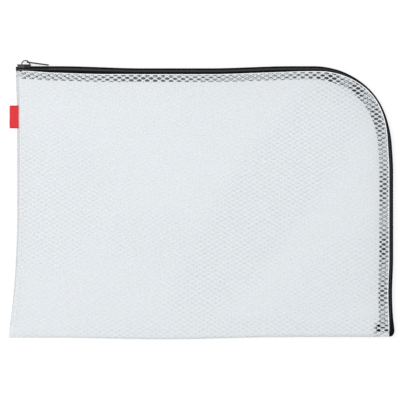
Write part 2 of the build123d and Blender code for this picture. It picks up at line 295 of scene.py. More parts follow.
@dataclass(frozen=True)
class WalletPlan:
    """Sizes of the wallet as the solids have them, and the soft forms that the sheet takes between them."""

    left: float = -168.0
    right: float = 168.0
    top: float = 121.0
    bottom: float = -121.0
    thickness: float = 9.2
    sheet: float = 0.4
    sheet_corner: float = 59.8
    top_band: float = 5.7
    side_band: float = 4.0
    flare_width: float = 8.0
    flare_height: float = 125.0
    flare_power: float = 2.4
    head_flare: float = 0.8
    head_flare_span: Span = (84.0, 104.0)
    crease_point: Point = (-163.4, 107.0)
    crease_out: Point = (0.57923, 0.81517)
    fall_rate: float = 0.03526
    crease_softness: float = 16.0
    lift_start: Point = (-138.2, 121.0)
    lift_out: Point = (0.59925, 0.80056)
    bend_width: float = 26.0
    edge_reach: float = 13.0
    front_drop: float = 1.4
    back_rise: float = 0.7
    wave_height: float = 0.28
    wave_from_zip: Span = (4.0, 45.0)
    wave_from_seam: Span = (6.0, 45.0)
    ripples: tuple[Ripple, ...] = (
        Ripple(1.0, (0.041, 0.018), 0.7),
        Ripple(0.6, (-0.023, 0.052), 1.9),
        Ripple(0.35, (0.083, 0.071), 2.4),
    )
    slack: tuple[SlackPlace, ...] = (
        SlackPlace((62.0, 10.0), 54.0, 160.0, 36.0, 1.0),
        SlackPlace((-143.0, 2.0), 90.0, 62.0, 58.0, 0.6),
        SlackPlace((-49.0, -30.0), 0.0, 60.0, 22.0, 0.4),
        SlackPlace((122.0, -68.0), 35.0, 60.0, 30.0, 0.5),
        SlackPlace((70.0, -118.0), 0.0, 190.0, 16.0, 0.7),
    )
    bow: EdgeBow = EdgeBow()

    @property
    def edge_x(self) -> float:
        """X of the sheet's right edge beside the zip."""
        return self.right - self.side_band

    @property
    def edge_y(self) -> float:
        """Y of the sheet's top edge beside the zip."""
        return self.top - self.top_band

    @property
    def arc_x(self) -> float:
        """X of the centre of the sheet's round corner."""
        return self.edge_x - self.sheet_corner

    @property
    def arc_y(self) -> float:
        """Y of the centre of the sheet's round corner."""
        return self.edge_y - self.sheet_corner

    def seam_x(self, y: np.ndarray) -> np.ndarray:
        """X of the left seam, with its flare towards the bottom.

        Args:
            y: Plan Y.

        Returns:
            The X at each height.
        """
        below = np.clip(self.bottom + self.flare_height - np.asarray(y, float), 0.0, None)
        return self.left - self.flare_width * (below / self.flare_height) ** self.flare_power

    def left_edge(self, y: np.ndarray) -> np.ndarray:
        """X of the left edge, which flares a little more at the head than the seam does."""
        return self.seam_x(y) - self.head_flare * ease(*self.head_flare_span, y)

    def depth(self, x: np.ndarray, y: np.ndarray) -> np.ndarray:
        """Space between the middles of the two sheets.

        Args:
            x: Plan X.
            y: Plan Y.

        Returns:
            The space, which narrows softly beyond the crease.
        """
        across = (np.asarray(x, float) - self.crease_point[0]) * self.crease_out[0]
        beyond = -across - (np.asarray(y, float) - self.crease_point[1]) * self.crease_out[1]
        soft = (beyond + np.sqrt(beyond ** 2 + self.crease_softness ** 2)) / 2.0
        return self.thickness - self.sheet - self.fall_rate * soft

    def inside(self, x: np.ndarray, y: np.ndarray) -> np.ndarray:
        """Distance in from the sheet's edge along the zip, negative on the zip's own band."""
        return inside_round(x, y, self.edge_x, self.edge_y, self.sheet_corner)

    def edge_slope(self, x: np.ndarray, y: np.ndarray) -> np.ndarray:
        """Share of the edge's dip beside the zip, 1 at the edge and 0 on the open sheet."""
        return 1.0 - ease(0.0, self.edge_reach, self.inside(x, y))

    def wave(self, x: np.ndarray, y: np.ndarray) -> np.ndarray:
        """Slight unevenness of the laid sheet.

        Args:
            x: Plan X.
            y: Plan Y.

        Returns:
            The height of it, which is 0 at the sheet's edges.
        """
        held = ease(*self.wave_from_zip, self.inside(x, y))
        for away in (x - self.left, y - self.bottom):
            held = held * ease(*self.wave_from_seam, away)
        return self.wave_height * held * sum(ripple.rise(x, y) for ripple in self.ripples)

    def level(self, face: Face, x: np.ndarray, y: np.ndarray) -> np.ndarray:
        """Height of the middle of a sheet.

        Args:
            face: Which sheet.
            x: Plan X.
            y: Plan Y.

        Returns:
            The height above the surface that the wallet lies on.
        """
        half = self.sheet / 2.0
        if face is Face.BACK:
            return half + self.back_rise * self.edge_slope(x, y)
        dip = self.front_drop * self.edge_slope(x, y)
        return half + self.depth(x, y) - dip + self.wave(x, y)

    def from_face(self, face: Face, height: np.ndarray) -> np.ndarray:
        """Height measured in from a face, or such a measure turned back into a height."""
        return self.thickness - height if face is Face.FRONT else height

    def nearness(self, face: Face, x: np.ndarray, y: np.ndarray) -> np.ndarray:
        """Share by which a sheet lies close over the other one.

        Args:
            face: Which sheet.
            x: Plan X.
            y: Plan Y.

        Returns:
            The share, which is 0 on the back.
        """
        if face is Face.BACK:
            return np.zeros(len(x))
        return np.max([place.share(x, y) for place in self.slack], axis=0)

    def bowed(self, points: np.ndarray) -> np.ndarray:
        """Rows of X, Y and Z moved by the slight bow of the wallet's edges."""
        return self.bow.moved(points, self)

    def carry(self, piece: bpy.types.Object, face: Face) -> None:
        """Bake a front piece's place into its mesh, or ride a back piece on the base.

        Args:
            piece: The piece to carry.
            face: Which face it belongs to.
        """
        if face is Face.BACK:
            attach(piece, Body.BASE.value)
            return
        start = Vector((*self.lift_start, self.thickness)) * MM
        across = Vector((*self.lift_out, 0.0)) * self.bend_width * MM
        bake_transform(piece)


@dataclass(frozen=True)
class ZipPath:
    """Outer line of the zip's chain: along the top, round the corner and down the right side."""

    start_x: float = -168.6
    top: float = 121.0
    right: float = 168.0
    radius: float = 71.2
    end_y: float = -116.2
    tape_reach: float = 12.3
    tail_reach: float = 16.0
    tail_length: float = 9.0
    clear_fade: Span = (-0.4, 0.8)

    @property
    def corner_x(self) -> float:
        """X of the corner's centre."""
        return self.right - self.radius

    @property
    def corner_y(self) -> float:
        """Y of the corner's centre."""
        return self.top - self.radius

    @property
    def top_run(self) -> float:
        """Length of the straight run along the top."""
        return self.corner_x - self.start_x

    @property
    def bend_run(self) -> float:
        """Length of the run round the corner."""
        return self.radius * QUARTER

    @property
    def length(self) -> float:
        """Length of the whole line."""
        return self.distance_at_y(self.end_y)

    def distance_at_x(self, x: float) -> float:
        """Distance along the line to a place on the top run."""
        return x - self.start_x

    def distance_at_y(self, y: float) -> float:
        """Distance along the line to a place on the side run."""
        return self.top_run + self.bend_run + self.corner_y - y

    def at(self, distance: np.ndarray) -> tuple[np.ndarray, np.ndarray, np.ndarray]:
        """Place and directions on the line.

        Args:
            distance: Distances along the line.

        Returns:
            Rows of plan points, of directions along the line, and of directions in towards the sheet.
        """
        past_top = np.asarray(distance, float) - self.top_run
        turn = np.clip(past_top / self.radius, 0.0, QUARTER)
        outward = paired(np.sin(turn), np.cos(turn))
        along = paired(np.cos(turn), -np.sin(turn))
        before = np.minimum(past_top, 0.0)
        after = np.maximum(past_top - self.bend_run, 0.0)
        centre = np.array([self.corner_x, self.corner_y])
        points = centre + outward * self.radius + along * (before + after)[..., None]
        return points, along, -outward

    def reach(self, face: Face, left_over: np.ndarray) -> np.ndarray:
        """How far in a tape reaches; the front tape ends in a wider tail.

        Args:
            face: Which tape.
            left_over: Length left to the tape's end.

        Returns:
            The reach from the chain's outer line.
        """
        if face is Face.BACK:
            return np.full_like(left_over, self.tape_reach)
        wider = 1.0 - ease(self.tail_length / 2.0, self.tail_length, left_over)
        return self.tape_reach + (self.tail_reach - self.tape_reach) * wider

    def contact(self, face: Face, x: np.ndarray, y: np.ndarray) -> np.ndarray:
        """Share by which the sheet lies right on the tape, which makes frosted vinyl look clear.

        Args:
            face: Which sheet.
            x: Plan X.
            y: Plan Y.

        Returns:
            The share, from 0 on the open sheet to 1 over the tape.
        """
        depth = inside_round(x, y, self.right, self.top, self.radius)
        reach = self.reach(face, np.where(x > self.corner_x, y - self.end_y, self.length))
        return 1.0 - ease(*self.clear_fade, depth - reach)


@dataclass
class MeshSketch:
    """Points, faces and flat coordinates of one piece, in millimetres."""

    name: str
    points: list[np.ndarray] = field(default_factory=list)
    flats: list[np.ndarray] = field(default_factory=list)
    contacts: list[np.ndarray] = field(default_factory=list)
    finishes: list[int] = field(default_factory=list)
    faces: list[tuple[int, ...]] = field(default_factory=list)
    count: int = 0

    def add(
        self,
        points: np.ndarray,
        flat: np.ndarray,
        faces: list[tuple[int, ...]],
        finishes: list[int],
        contact: np.ndarray | None = None,
    ) -> None:
        """Add a patch.

        Args:
            points: Rows of X, Y and Z.
            flat: Rows of flat X and Y, one for each point.
            faces: Faces by row number within this patch.
            finishes: Which of the piece's materials each face has.
            contact: Shares of contact with the tape and with the other sheet, a row for each point, or None
                for full contact with the tape.
        """
        self.points.append(points)
        self.flats.append(flat)
        self.contacts.append(np.tile((1.0, 0.0), (len(points), 1)) if contact is None else contact)
        self.faces += [tuple(index + self.count for index in face) for face in faces]
        self.finishes += finishes
        self.count += len(points)

    def add_grid(
        self,
        points: np.ndarray,
        flat: np.ndarray,
        keep: np.ndarray | None = None,
        closed: bool = False,
        finish: int | np.ndarray = 0,
    ) -> None:
        """Add a patch of quads.

        Args:
            points: Array of rows, columns and X, Y, Z.
            flat: Array of rows, columns and flat X, Y.
            keep: Which cells are filled, or None for all.
            closed: Whether the last column joins the first and the two ends are filled, as on a bar.
            finish: Which of the piece's materials the patch has, or one for each column of quads.
        """
        rows, columns = points.shape[:2]
        across = columns if closed else columns - 1
        column_finish = np.broadcast_to(finish, across)
        faces: list[tuple[int, ...]] = []
        finishes: list[int] = []
        for i in range(rows - 1):
            here, ahead = i * columns, (i + 1) * columns
            for j in range(across):
                if keep is None or keep[i, j]:
                    k = (j + 1) % columns
                    faces.append((here + j, here + k, ahead + k, ahead + j))
                    finishes.append(int(column_finish[j]))
        if closed:
            faces.append(tuple(range(columns - 1, -1, -1)))
            faces.append(tuple((rows - 1) * columns + j for j in range(columns)))
            finishes += [int(column_finish[0])] * 2
        self.add(points.reshape(-1, 3), flat.reshape(-1, 2), faces, finishes)

    def make(self, plan: WalletPlan, bow: bool = True) -> bpy.types.Object:
        """Turn the sketch into an object in metres.

        Args:
            plan: The wallet's plan, for the bow of its edges.
            bow: Whether the piece follows that bow.

        Returns:
            The new object, shaded smooth.
        """
        points = np.concatenate(self.points)
        if bow:
            points = plan.bowed(points)
        mesh = bpy.data.meshes.new(self.name)
        mesh.from_pydata((points * MM).tolist(), [], self.faces)
        corners = np.zeros(len(mesh.loops), dtype=np.int32)
        mesh.loops.foreach_get("vertex_index", corners)
        charts = {
            FLAT_MAP: np.concatenate(self.flats) / FLAT_SPAN,
            CONTACT_MAP: np.concatenate(self.contacts),
        }
        for name, chart in charts.items():
            layer = mesh.uv_layers.new(name=name)
            layer.data.foreach_set("uv", chart[corners].astype(np.float32).ravel())
        mesh.polygons.foreach_set("use_smooth", np.ones(len(mesh.polygons), dtype=bool))
        mesh.polygons.foreach_set("material_index", np.array(self.finishes, dtype=np.int32))
        mesh.validate()
        mesh.update()
        made = bpy.data.objects.new(self.name, mesh)
        bpy.context.scene.collection.objects.link(made)
        return made


class NodeSketch:
    """Node tree of a material or of the world, with short calls that add and join nodes."""

    def __init__(self, owner: bpy.types.Material | bpy.types.World) -> None:
        """Start an empty tree on its owner.

        Args:
            owner: The material or the world.
        """
        owner.use_nodes = True
        self.owner = owner
        self.tree = owner.node_tree
        self.tree.nodes.clear()

    @classmethod
    def named(cls, name: str) -> "NodeSketch":
        """Start a material of that name."""
        return cls(bpy.data.materials.new(name))

    def node(self, kind: str, inputs: dict | None = None, **settings: object) -> bpy.types.Node:
        """Add a node.

        Args:
            kind: Blender's name for the node.
            inputs: Values or sockets by input name or number.
            **settings: Settings of the node itself.

        Returns:
            The new node.
        """
        made = self.tree.nodes.new(kind)
        for name, value in settings.items():
            setattr(made, name, value)
        for key, value in (inputs or {}).items():
            if isinstance(value, bpy.types.NodeSocket):
                self.tree.links.new(value, made.inputs[key])
            else:
                made.inputs[key].default_value = value
        return made

    def math(self, operation: str, first: object, second: object = 0.0) -> bpy.types.NodeSocket:
        """Result of one sum on two values."""
        return self.node("ShaderNodeMath", {0: first, 1: second}, operation=operation).outputs[0]

    def vector(self, operation: str, first: object, second: object = (0.0, 0.0, 0.0)) -> bpy.types.NodeSocket:
        """Result of one sum on two vectors."""
        made = self.node("ShaderNodeVectorMath", {0: first, 1: second}, operation=operation)
        return made.outputs["Value"] if operation == "LENGTH" else made.outputs["Vector"]

    def flat(self) -> bpy.types.NodeSocket:
        """The piece's flat coordinates, in millimetres."""
        chart = self.node("ShaderNodeUVMap", uv_map=FLAT_MAP).outputs["UV"]
        return self.vector("MULTIPLY", chart, (FLAT_SPAN, FLAT_SPAN, 0.0))

    def parts(self, vector: bpy.types.NodeSocket) -> tuple[bpy.types.NodeSocket, bpy.types.NodeSocket]:
        """X and Y of a vector."""
        split = self.node("ShaderNodeSeparateXYZ", {0: vector})
        return split.outputs[0], split.outputs[1]

    def wave(self, value: bpy.types.NodeSocket, pitch: float) -> bpy.types.NodeSocket:
        """Even wave along a value, from -1 to 1."""
        return self.math("SINE", self.math("MULTIPLY", value, TURN / pitch))

    def noise(self, place: object, scale: float, detail: float = SOFT_DETAIL) -> bpy.types.NodeSocket:
        """Soft noise over a place, from 0 to 1."""
        made = self.node("ShaderNodeTexNoise", {"Vector": place, "Scale": scale, "Detail": detail})
        return made.outputs[0]

    def spread(self, value: object, result: Span, source: Span = WHOLE_RANGE) -> bpy.types.NodeSocket:
        """Value moved smoothly from one range into another.

        Args:
            value: The value.
            result: Ends of the range that it is moved into.
            source: Ends of the range that it comes from.

        Returns:
            The moved value.
        """
        ends = {"From Min": source[0], "From Max": source[1], "To Min": result[0], "To Max": result[1]}
        made = self.node("ShaderNodeMapRange", {"Value": value, **ends}, interpolation_type="SMOOTHSTEP")
        return made.outputs["Result"]

    def tint(self, share: object, first: Colour, second: Colour) -> bpy.types.NodeSocket:
        """Colour between two.

        Args:
            share: Share of the second colour, which varies over the surface.
            first: Colour at 0.
            second: Colour at 1.

        Returns:
            The mixed colour.
        """
        ramp = self.node("ShaderNodeValToRGB", {"Fac": share})
        for stop, colour in zip(ramp.color_ramp.elements, (first, second)):
            stop.color = colour
        return ramp.outputs["Color"]

    def bump(self, height: object, strength: float, reach: float) -> bpy.types.NodeSocket:
        """Normal of a fine relief whose full height is reach, in millimetres."""
        made = self.node("ShaderNodeBump", {"Height": height, "Strength": strength, "Distance": reach * MM})
        return made.outputs["Normal"]

    def surface(self, inputs: dict[str, object]) -> bpy.types.Node:
        """Add a main surface shader."""
        return self.node("ShaderNodeBsdfPrincipled", inputs)

    def mix(self, share: object, first: bpy.types.Node, second: bpy.types.Node) -> bpy.types.Node:
        """Add a shader between two others, by the share of the second."""
        return self.node("ShaderNodeMixShader", {0: share, 1: first.outputs[0], 2: second.outputs[0]})

    def seen(self) -> bpy.types.NodeSocket:
        """1 where the eye sees a background straight, in a gloss or through clear film, and 0 for its light.

        Returns:
            The switch between the two.
        """
        rays = self.node("ShaderNodeLightPath").outputs
        shown = self.math("MAXIMUM", rays["Is Camera Ray"], rays["Is Glossy Ray"])
        return self.math("MAXIMUM", shown, rays["Is Transmission Ray"])

    def finish(
        self, shader: bpy.types.Node, output: str = "ShaderNodeOutputMaterial"
    ) -> bpy.types.Material | bpy.types.World:
        """Join the last shader to the output and give back the tree's owner."""
        self.node(output, {"Surface": shader.outputs[0]})
        return self.owner


@dataclass(frozen=True)
class NetVinyl:
    """Frosted clear vinyl with a white net of six-sided meshes inside it."""

    name: str = "net_vinyl"
    pitch_x: float = 7.1
    pitch_y: float = 4.14
    window: Point = (1.95, 1.08)
    window_edge: float = 0.18
    touch_growth: float = 0.12
    frosted: float = 0.1
    near: float = 0.18
    clear: float = 0.905
    glow: float = 0.2
    gloss: float = 0.35
    rough: Span = (0.34, 0.5)
    yarn_grain: float = 3.2
    yarn_rise: float = 0.35
    cloud_grain: float = 0.035
    cloud: Span = (-0.06, 0.06)
    relief: float = 0.12
    relief_share: float = 0.3
    thread: Colour = (0.796, 0.822, 0.842, 1.0)
    haze: Colour = (0.832, 0.853, 0.870, 1.0)
    light_through: Colour = (0.95, 0.97, 0.98, 1.0)
    film: Colour = (0.975, 0.985, 0.99, 1.0)

    def distance(self, sketch: NodeSketch, cells: object, shift: float) -> bpy.types.NodeSocket:
        """Distance from the nearest middle of every second window.

        Args:
            sketch: The material being made.
            cells: Flat coordinates counted in meshes.
            shift: Shift of these windows, as a share of a mesh.

        Returns:
            The distance as a share of the window's half width and half height.
        """
        cell_middle = (0.5, 0.5, 0.0)
        moved = sketch.vector("ADD", cells, (shift, shift, 0.0))
        centred = sketch.vector("SUBTRACT", sketch.vector("FRACTION", moved), cell_middle)
        span = (self.pitch_x / self.window[0], self.pitch_y / self.window[1], 0.0)
        return sketch.vector("LENGTH", sketch.vector("MULTIPLY", centred, span))

    def windows(self, sketch: NodeSketch, flat: object, touch: object) -> bpy.types.NodeSocket:
        """Windows between the net's threads, in rows that are half a mesh apart.

        Args:
            sketch: The material being made.
            flat: Flat coordinates.
            touch: Contact with the tape, which makes the windows look larger.

        Returns:
            The share of window, from 0 on a thread to 1.
        """
        cells = sketch.vector("MULTIPLY", flat, (1.0 / self.pitch_x, 1.0 / self.pitch_y, 0.0))
        rows = [self.distance(sketch, cells, shift) for shift in (0.0, 0.5)]
        growth = sketch.math("MULTIPLY", touch, self.touch_growth)
        nearest = sketch.math("SUBTRACT", sketch.math("MINIMUM", *rows), growth)
        return sketch.spread(nearest, WHOLE_RANGE[::-1], (1.0 - self.window_edge, 1.0 + self.window_edge))

    def make(self) -> bpy.types.Material:
        """Make the material.

        Returns:
            The material, whose windows turn clear where the sheet lies on the tape.
        """
        sketch = NodeSketch.named(self.name)
        flat = sketch.flat()
        touch, nearness = sketch.parts(sketch.node("ShaderNodeUVMap", uv_map=CONTACT_MAP).outputs["UV"])
        window = self.windows(sketch, flat, touch)
        yarn = sketch.noise(flat, self.yarn_grain, FINE_DETAIL)
        cloud = sketch.spread(sketch.noise(flat, self.cloud_grain), self.cloud, NOISE_CORE)
        relief = sketch.math("SUBTRACT", sketch.math("MULTIPLY", yarn, self.yarn_rise), window)
        surface = sketch.surface({
            "Base Color": sketch.tint(sketch.math("ADD", window, cloud), self.thread, self.haze),
            "Roughness": sketch.spread(yarn, self.rough, NOISE_WIDE),
            "Normal": sketch.bump(relief, self.relief_share, self.relief),
            "Specular IOR Level": self.gloss,
        })
        through = sketch.node("ShaderNodeBsdfTranslucent", {"Color": self.light_through})
        body = sketch.mix(self.glow, surface, through)
        film = sketch.node("ShaderNodeBsdfTransparent", {"Color": self.film})
        near = sketch.math("MULTIPLY", nearness, self.near)
        clear = sketch.math("ADD", sketch.spread(touch, (self.frosted, self.clear)), near)
        return sketch.finish(sketch.mix(sketch.math("MULTIPLY", window, clear), body, film))


@dataclass(frozen=True)
class WovenTape:
    """Black woven tape with ribs along it and fine weft across."""

    name: str = "zip_tape_weave"
    rib_pitch: float = 0.9
    weft_pitch: float = 0.55
    rib_share: float = 0.5
    weave_range: Span = (-1.4, 1.4)
    fluff_grain: float = 5.0
    fluff_tone: Span = (0.55, 1.0)
    dark: Colour = (0.003, 0.003, 0.004, 1.0)
    pale: Colour = (0.014, 0.014, 0.016, 1.0)
    rough: Span = (0.38, 0.52)
    relief: float = 0.1
    relief_share: float = 0.3
    gloss: float = 0.40
    sheen: float = 0.03
    sheen_rough: float = 0.5

    def make(self) -> bpy.types.Material:
        """Make the material.

        Returns:
            The material.
        """
        sketch = NodeSketch.named(self.name)
        flat = sketch.flat()
        along, across = sketch.parts(flat)
        rib = sketch.wave(across, self.rib_pitch)
        cross = sketch.math("MULTIPLY", sketch.wave(along, self.weft_pitch), rib)
        ribbed = sketch.math("ADD", cross, sketch.math("MULTIPLY", rib, self.rib_share))
        weave = sketch.spread(ribbed, WHOLE_RANGE, self.weave_range)
        fluff = sketch.noise(flat, self.fluff_grain, FINE_DETAIL)
        share = sketch.math("MULTIPLY", weave, sketch.spread(fluff, self.fluff_tone, NOISE_CORE))
        return sketch.finish(sketch.surface({
            "Base Color": sketch.tint(share, self.dark, self.pale),
            "Roughness": sketch.spread(fluff, self.rough, NOISE_WIDE),
            "Normal": sketch.bump(weave, self.relief_share, self.relief),
            "Specular IOR Level": self.gloss,
            "Sheen Weight": self.sheen,
            "Sheen Roughness": self.sheen_rough,
        }))


@dataclass(frozen=True)
class PlainFinish:
    """One-colour finish with slight unevenness in its tone, gloss and relief."""

    name: str
    dark: Colour
    pale: Colour
    rough: Span
    grain: float
    relief: float
    relief_share: float = 0.25
    broad_share: float = 0.12
    gloss: float = 0.5
    coat: float = 0.0
    coat_rough: float = 0.15

    def make(self) -> bpy.types.Material:
        """Make the material, with its grain laid out in space.

        Returns:
            The material.
        """
        sketch = NodeSketch.named(self.name)
        place = sketch.node("ShaderNodeTexCoord").outputs["Object"]
        fine = sketch.noise(place, self.grain, FINE_DETAIL)
        broad = sketch.noise(place, self.grain * self.broad_share)
        tone = sketch.spread(fine, WHOLE_RANGE, NOISE_CORE)
        return sketch.finish(sketch.surface({
            "Base Color": sketch.tint(tone, self.dark, self.pale),
            "Roughness": sketch.spread(broad, self.rough, NOISE_CORE),
            "Normal": sketch.bump(fine, self.relief_share, self.relief),
            "Specular IOR Level": self.gloss,
            "Coat Weight": self.coat,
            "Coat Roughness": self.coat_rough,
        }))


@dataclass(frozen=True)
class RibbonWeave:
    """Red ribbon in a close satin weave with firm side edges."""

    name: str = "label_ribbon"
    pitch: float = 0.42
    width: float = 20.2
    weave_tone: Span = (0.75, 1.0)
    fluff_grain: float = 1.6
    fluff_tone: Span = (0.55, 1.0)
    selvedge_tone: Span = (1.0, 0.45)
    selvedge_insets: Span = (1.3, 0.5)
    dark: Colour = (0.50, 0.012, 0.021, 1.0)
    pale: Colour = (0.72, 0.027, 0.040, 1.0)
    rough: Span = (0.45, 0.62)
    relief: float = 0.08
    relief_share: float = 0.35
    gloss: float = 0.25

    def make(self) -> bpy.types.Material:
        """Make the material.

        Returns:
            The material.
        """
        sketch = NodeSketch.named(self.name)
        flat = sketch.flat()
        along, across = sketch.parts(flat)
        cross = sketch.math("MULTIPLY", sketch.wave(along, self.pitch), sketch.wave(across, self.pitch))
        weave = sketch.spread(cross, WHOLE_RANGE, WAVE_RANGE)
        fluff = sketch.spread(sketch.noise(flat, self.fluff_grain, FINE_DETAIL), self.fluff_tone, NOISE_CORE)
        start, end = (self.width / 2.0 - inset for inset in self.selvedge_insets)
        selvedge = sketch.spread(sketch.math("ABSOLUTE", across), self.selvedge_tone, (start, end))
        toned = sketch.math("MULTIPLY", fluff, selvedge)
        share = sketch.math("MULTIPLY", toned, sketch.spread(weave, self.weave_tone))
        return sketch.finish(sketch.surface({
            "Base Color": sketch.tint(share, self.dark, self.pale),
            "Roughness": sketch.spread(weave, self.rough),
            "Normal": sketch.bump(weave, self.relief_share, self.relief),
            "Specular IOR Level": self.gloss,
        }))


@dataclass(frozen=True)
class TwistedThread:
    """White sewing thread with its twist."""

    name: str = "sewing_thread"
    pitch: float = 0.5
    fluff_grain: float = 2.5
    dark: Colour = (0.84, 0.86, 0.875, 1.0)
    pale: Colour = (0.955, 0.965, 0.975, 1.0)
    rough: Span = (0.45, 0.65)
    relief: float = 0.08
    relief_share: float = 0.5

    def make(self) -> bpy.types.Material:
        """Make the material.

        Returns:
            The material.
        """
        sketch = NodeSketch.named(self.name)
        flat = sketch.flat()
        twist = sketch.wave(sketch.math("ADD", *sketch.parts(flat)), self.pitch)
        share = sketch.spread(twist, WHOLE_RANGE, WAVE_RANGE)
        return sketch.finish(sketch.surface({
            "Base Color": sketch.tint(share, self.dark, self.pale),
            "Roughness": sketch.spread(sketch.noise(flat, self.fluff_grain), self.rough, NOISE_CORE),
            "Normal": sketch.bump(share, self.relief_share, self.relief),
        }))


@dataclass(frozen=True)
class Finishes:
    """Every finish of the wallet, made once."""

    net: bpy.types.Material
    hem_net: bpy.types.Material
    seam_net: bpy.types.Material
    tape: bpy.types.Material
    tape_border: bpy.types.Material
    coil: bpy.types.Material
    enamel: bpy.types.Material
    ribbon: bpy.types.Material
    thread: bpy.types.Material
    bead: bpy.types.Material

    @classmethod
    def make(cls) -> "Finishes":
        """Make every finish.

        Returns:
            The finishes.
        """
        # Darker copy of the net vinyl for the hem turned under along the zip: its grey threads and haze are
        # painted shade between the layers.
        hem_net = NetVinyl(
            "net_vinyl_inside_painted_shade",
            window=(1.95, 1.2),
            thread=(0.57, 0.625, 0.65, 1.0),
            haze=(0.6, 0.61, 0.62, 1.0),
        )
        # Copy of the net vinyl for the turned edge at the left seam: its darker threads are painted shade
        # that greys the seam strip.
        seam_net = NetVinyl(
            "net_vinyl_seam_painted_shade",
            frosted=0.3,
            thread=(0.68, 0.69, 0.70, 1.0),
            haze=(0.86, 0.865, 0.87, 1.0),
        )
        # Shaded copy of the tape for the groove beside the sheet's edge: its darker colour and dull gloss are
        # painted shade.
        tape_border = WovenTape("zip_tape_border", pale=(0.006, 0.006, 0.007, 1.0), gloss=0.04, sheen=0.0)
        coil = PlainFinish(
            "nylon_coil",
            dark=(0.003, 0.003, 0.004, 1.0),
            pale=(0.006, 0.006, 0.007, 1.0),
            rough=(0.4, 0.55),
            grain=900.0,
            relief=0.03,
            gloss=0.08,
        )
        enamel = PlainFinish(
            "black_enamel",
            dark=(0.004, 0.004, 0.005, 1.0),
            pale=(0.010, 0.010, 0.012, 1.0),
            rough=(0.24, 0.4),
            grain=1400.0,
            relief=0.02,
            gloss=0.3,
            coat=0.1,
        )
        bead = PlainFinish(
            "plain_vinyl",
            dark=(0.88, 0.90, 0.915, 1.0),
            pale=(0.95, 0.96, 0.97, 1.0),
            rough=(0.3, 0.42),
            grain=260.0,
            relief=0.03,
        )
        return cls(
            net=NetVinyl().make(),
            hem_net=hem_net.make(),
            seam_net=seam_net.make(),
            tape=WovenTape().make(),
            tape_border=tape_border.make(),
            coil=coil.make(),
            enamel=enamel.make(),
            ribbon=RibbonWeave().make(),
            thread=TwistedThread().make(),
            bead=bead.make(),
        )


def dress(piece: bpy.types.Object, slot: Slot, *materials: bpy.types.Material) -> None:
    """Give a new piece its materials, in the order of its parts.

    Args:
        piece: The new piece.
        slot: Its material slot in the record; not used.
        *materials: Its materials.
    """
    for material in materials:
        piece.data.materials.append(material)


def thicken(piece: bpy.types.Object, thickness: float) -> None:
    """Give a sheet-like piece a thickness about its middle.

    Args:
        piece: The piece.
        thickness: Its thickness.
    """
    shell = piece.modifiers.new("thickness", "SOLIDIFY")
    shell.thickness = thickness * MM
    shell.offset = 0.0


def quarter_turn(past: np.ndarray, radius: np.ndarray) -> tuple[np.ndarray, np.ndarray]:
    """How far a strip goes on and how far it drops as it is taken past a line, round a quarter circle."""
    turn = np.clip(past / radius, 0.0, QUARTER)
    return radius * np.sin(turn), radius * (1.0 - np.cos(turn))


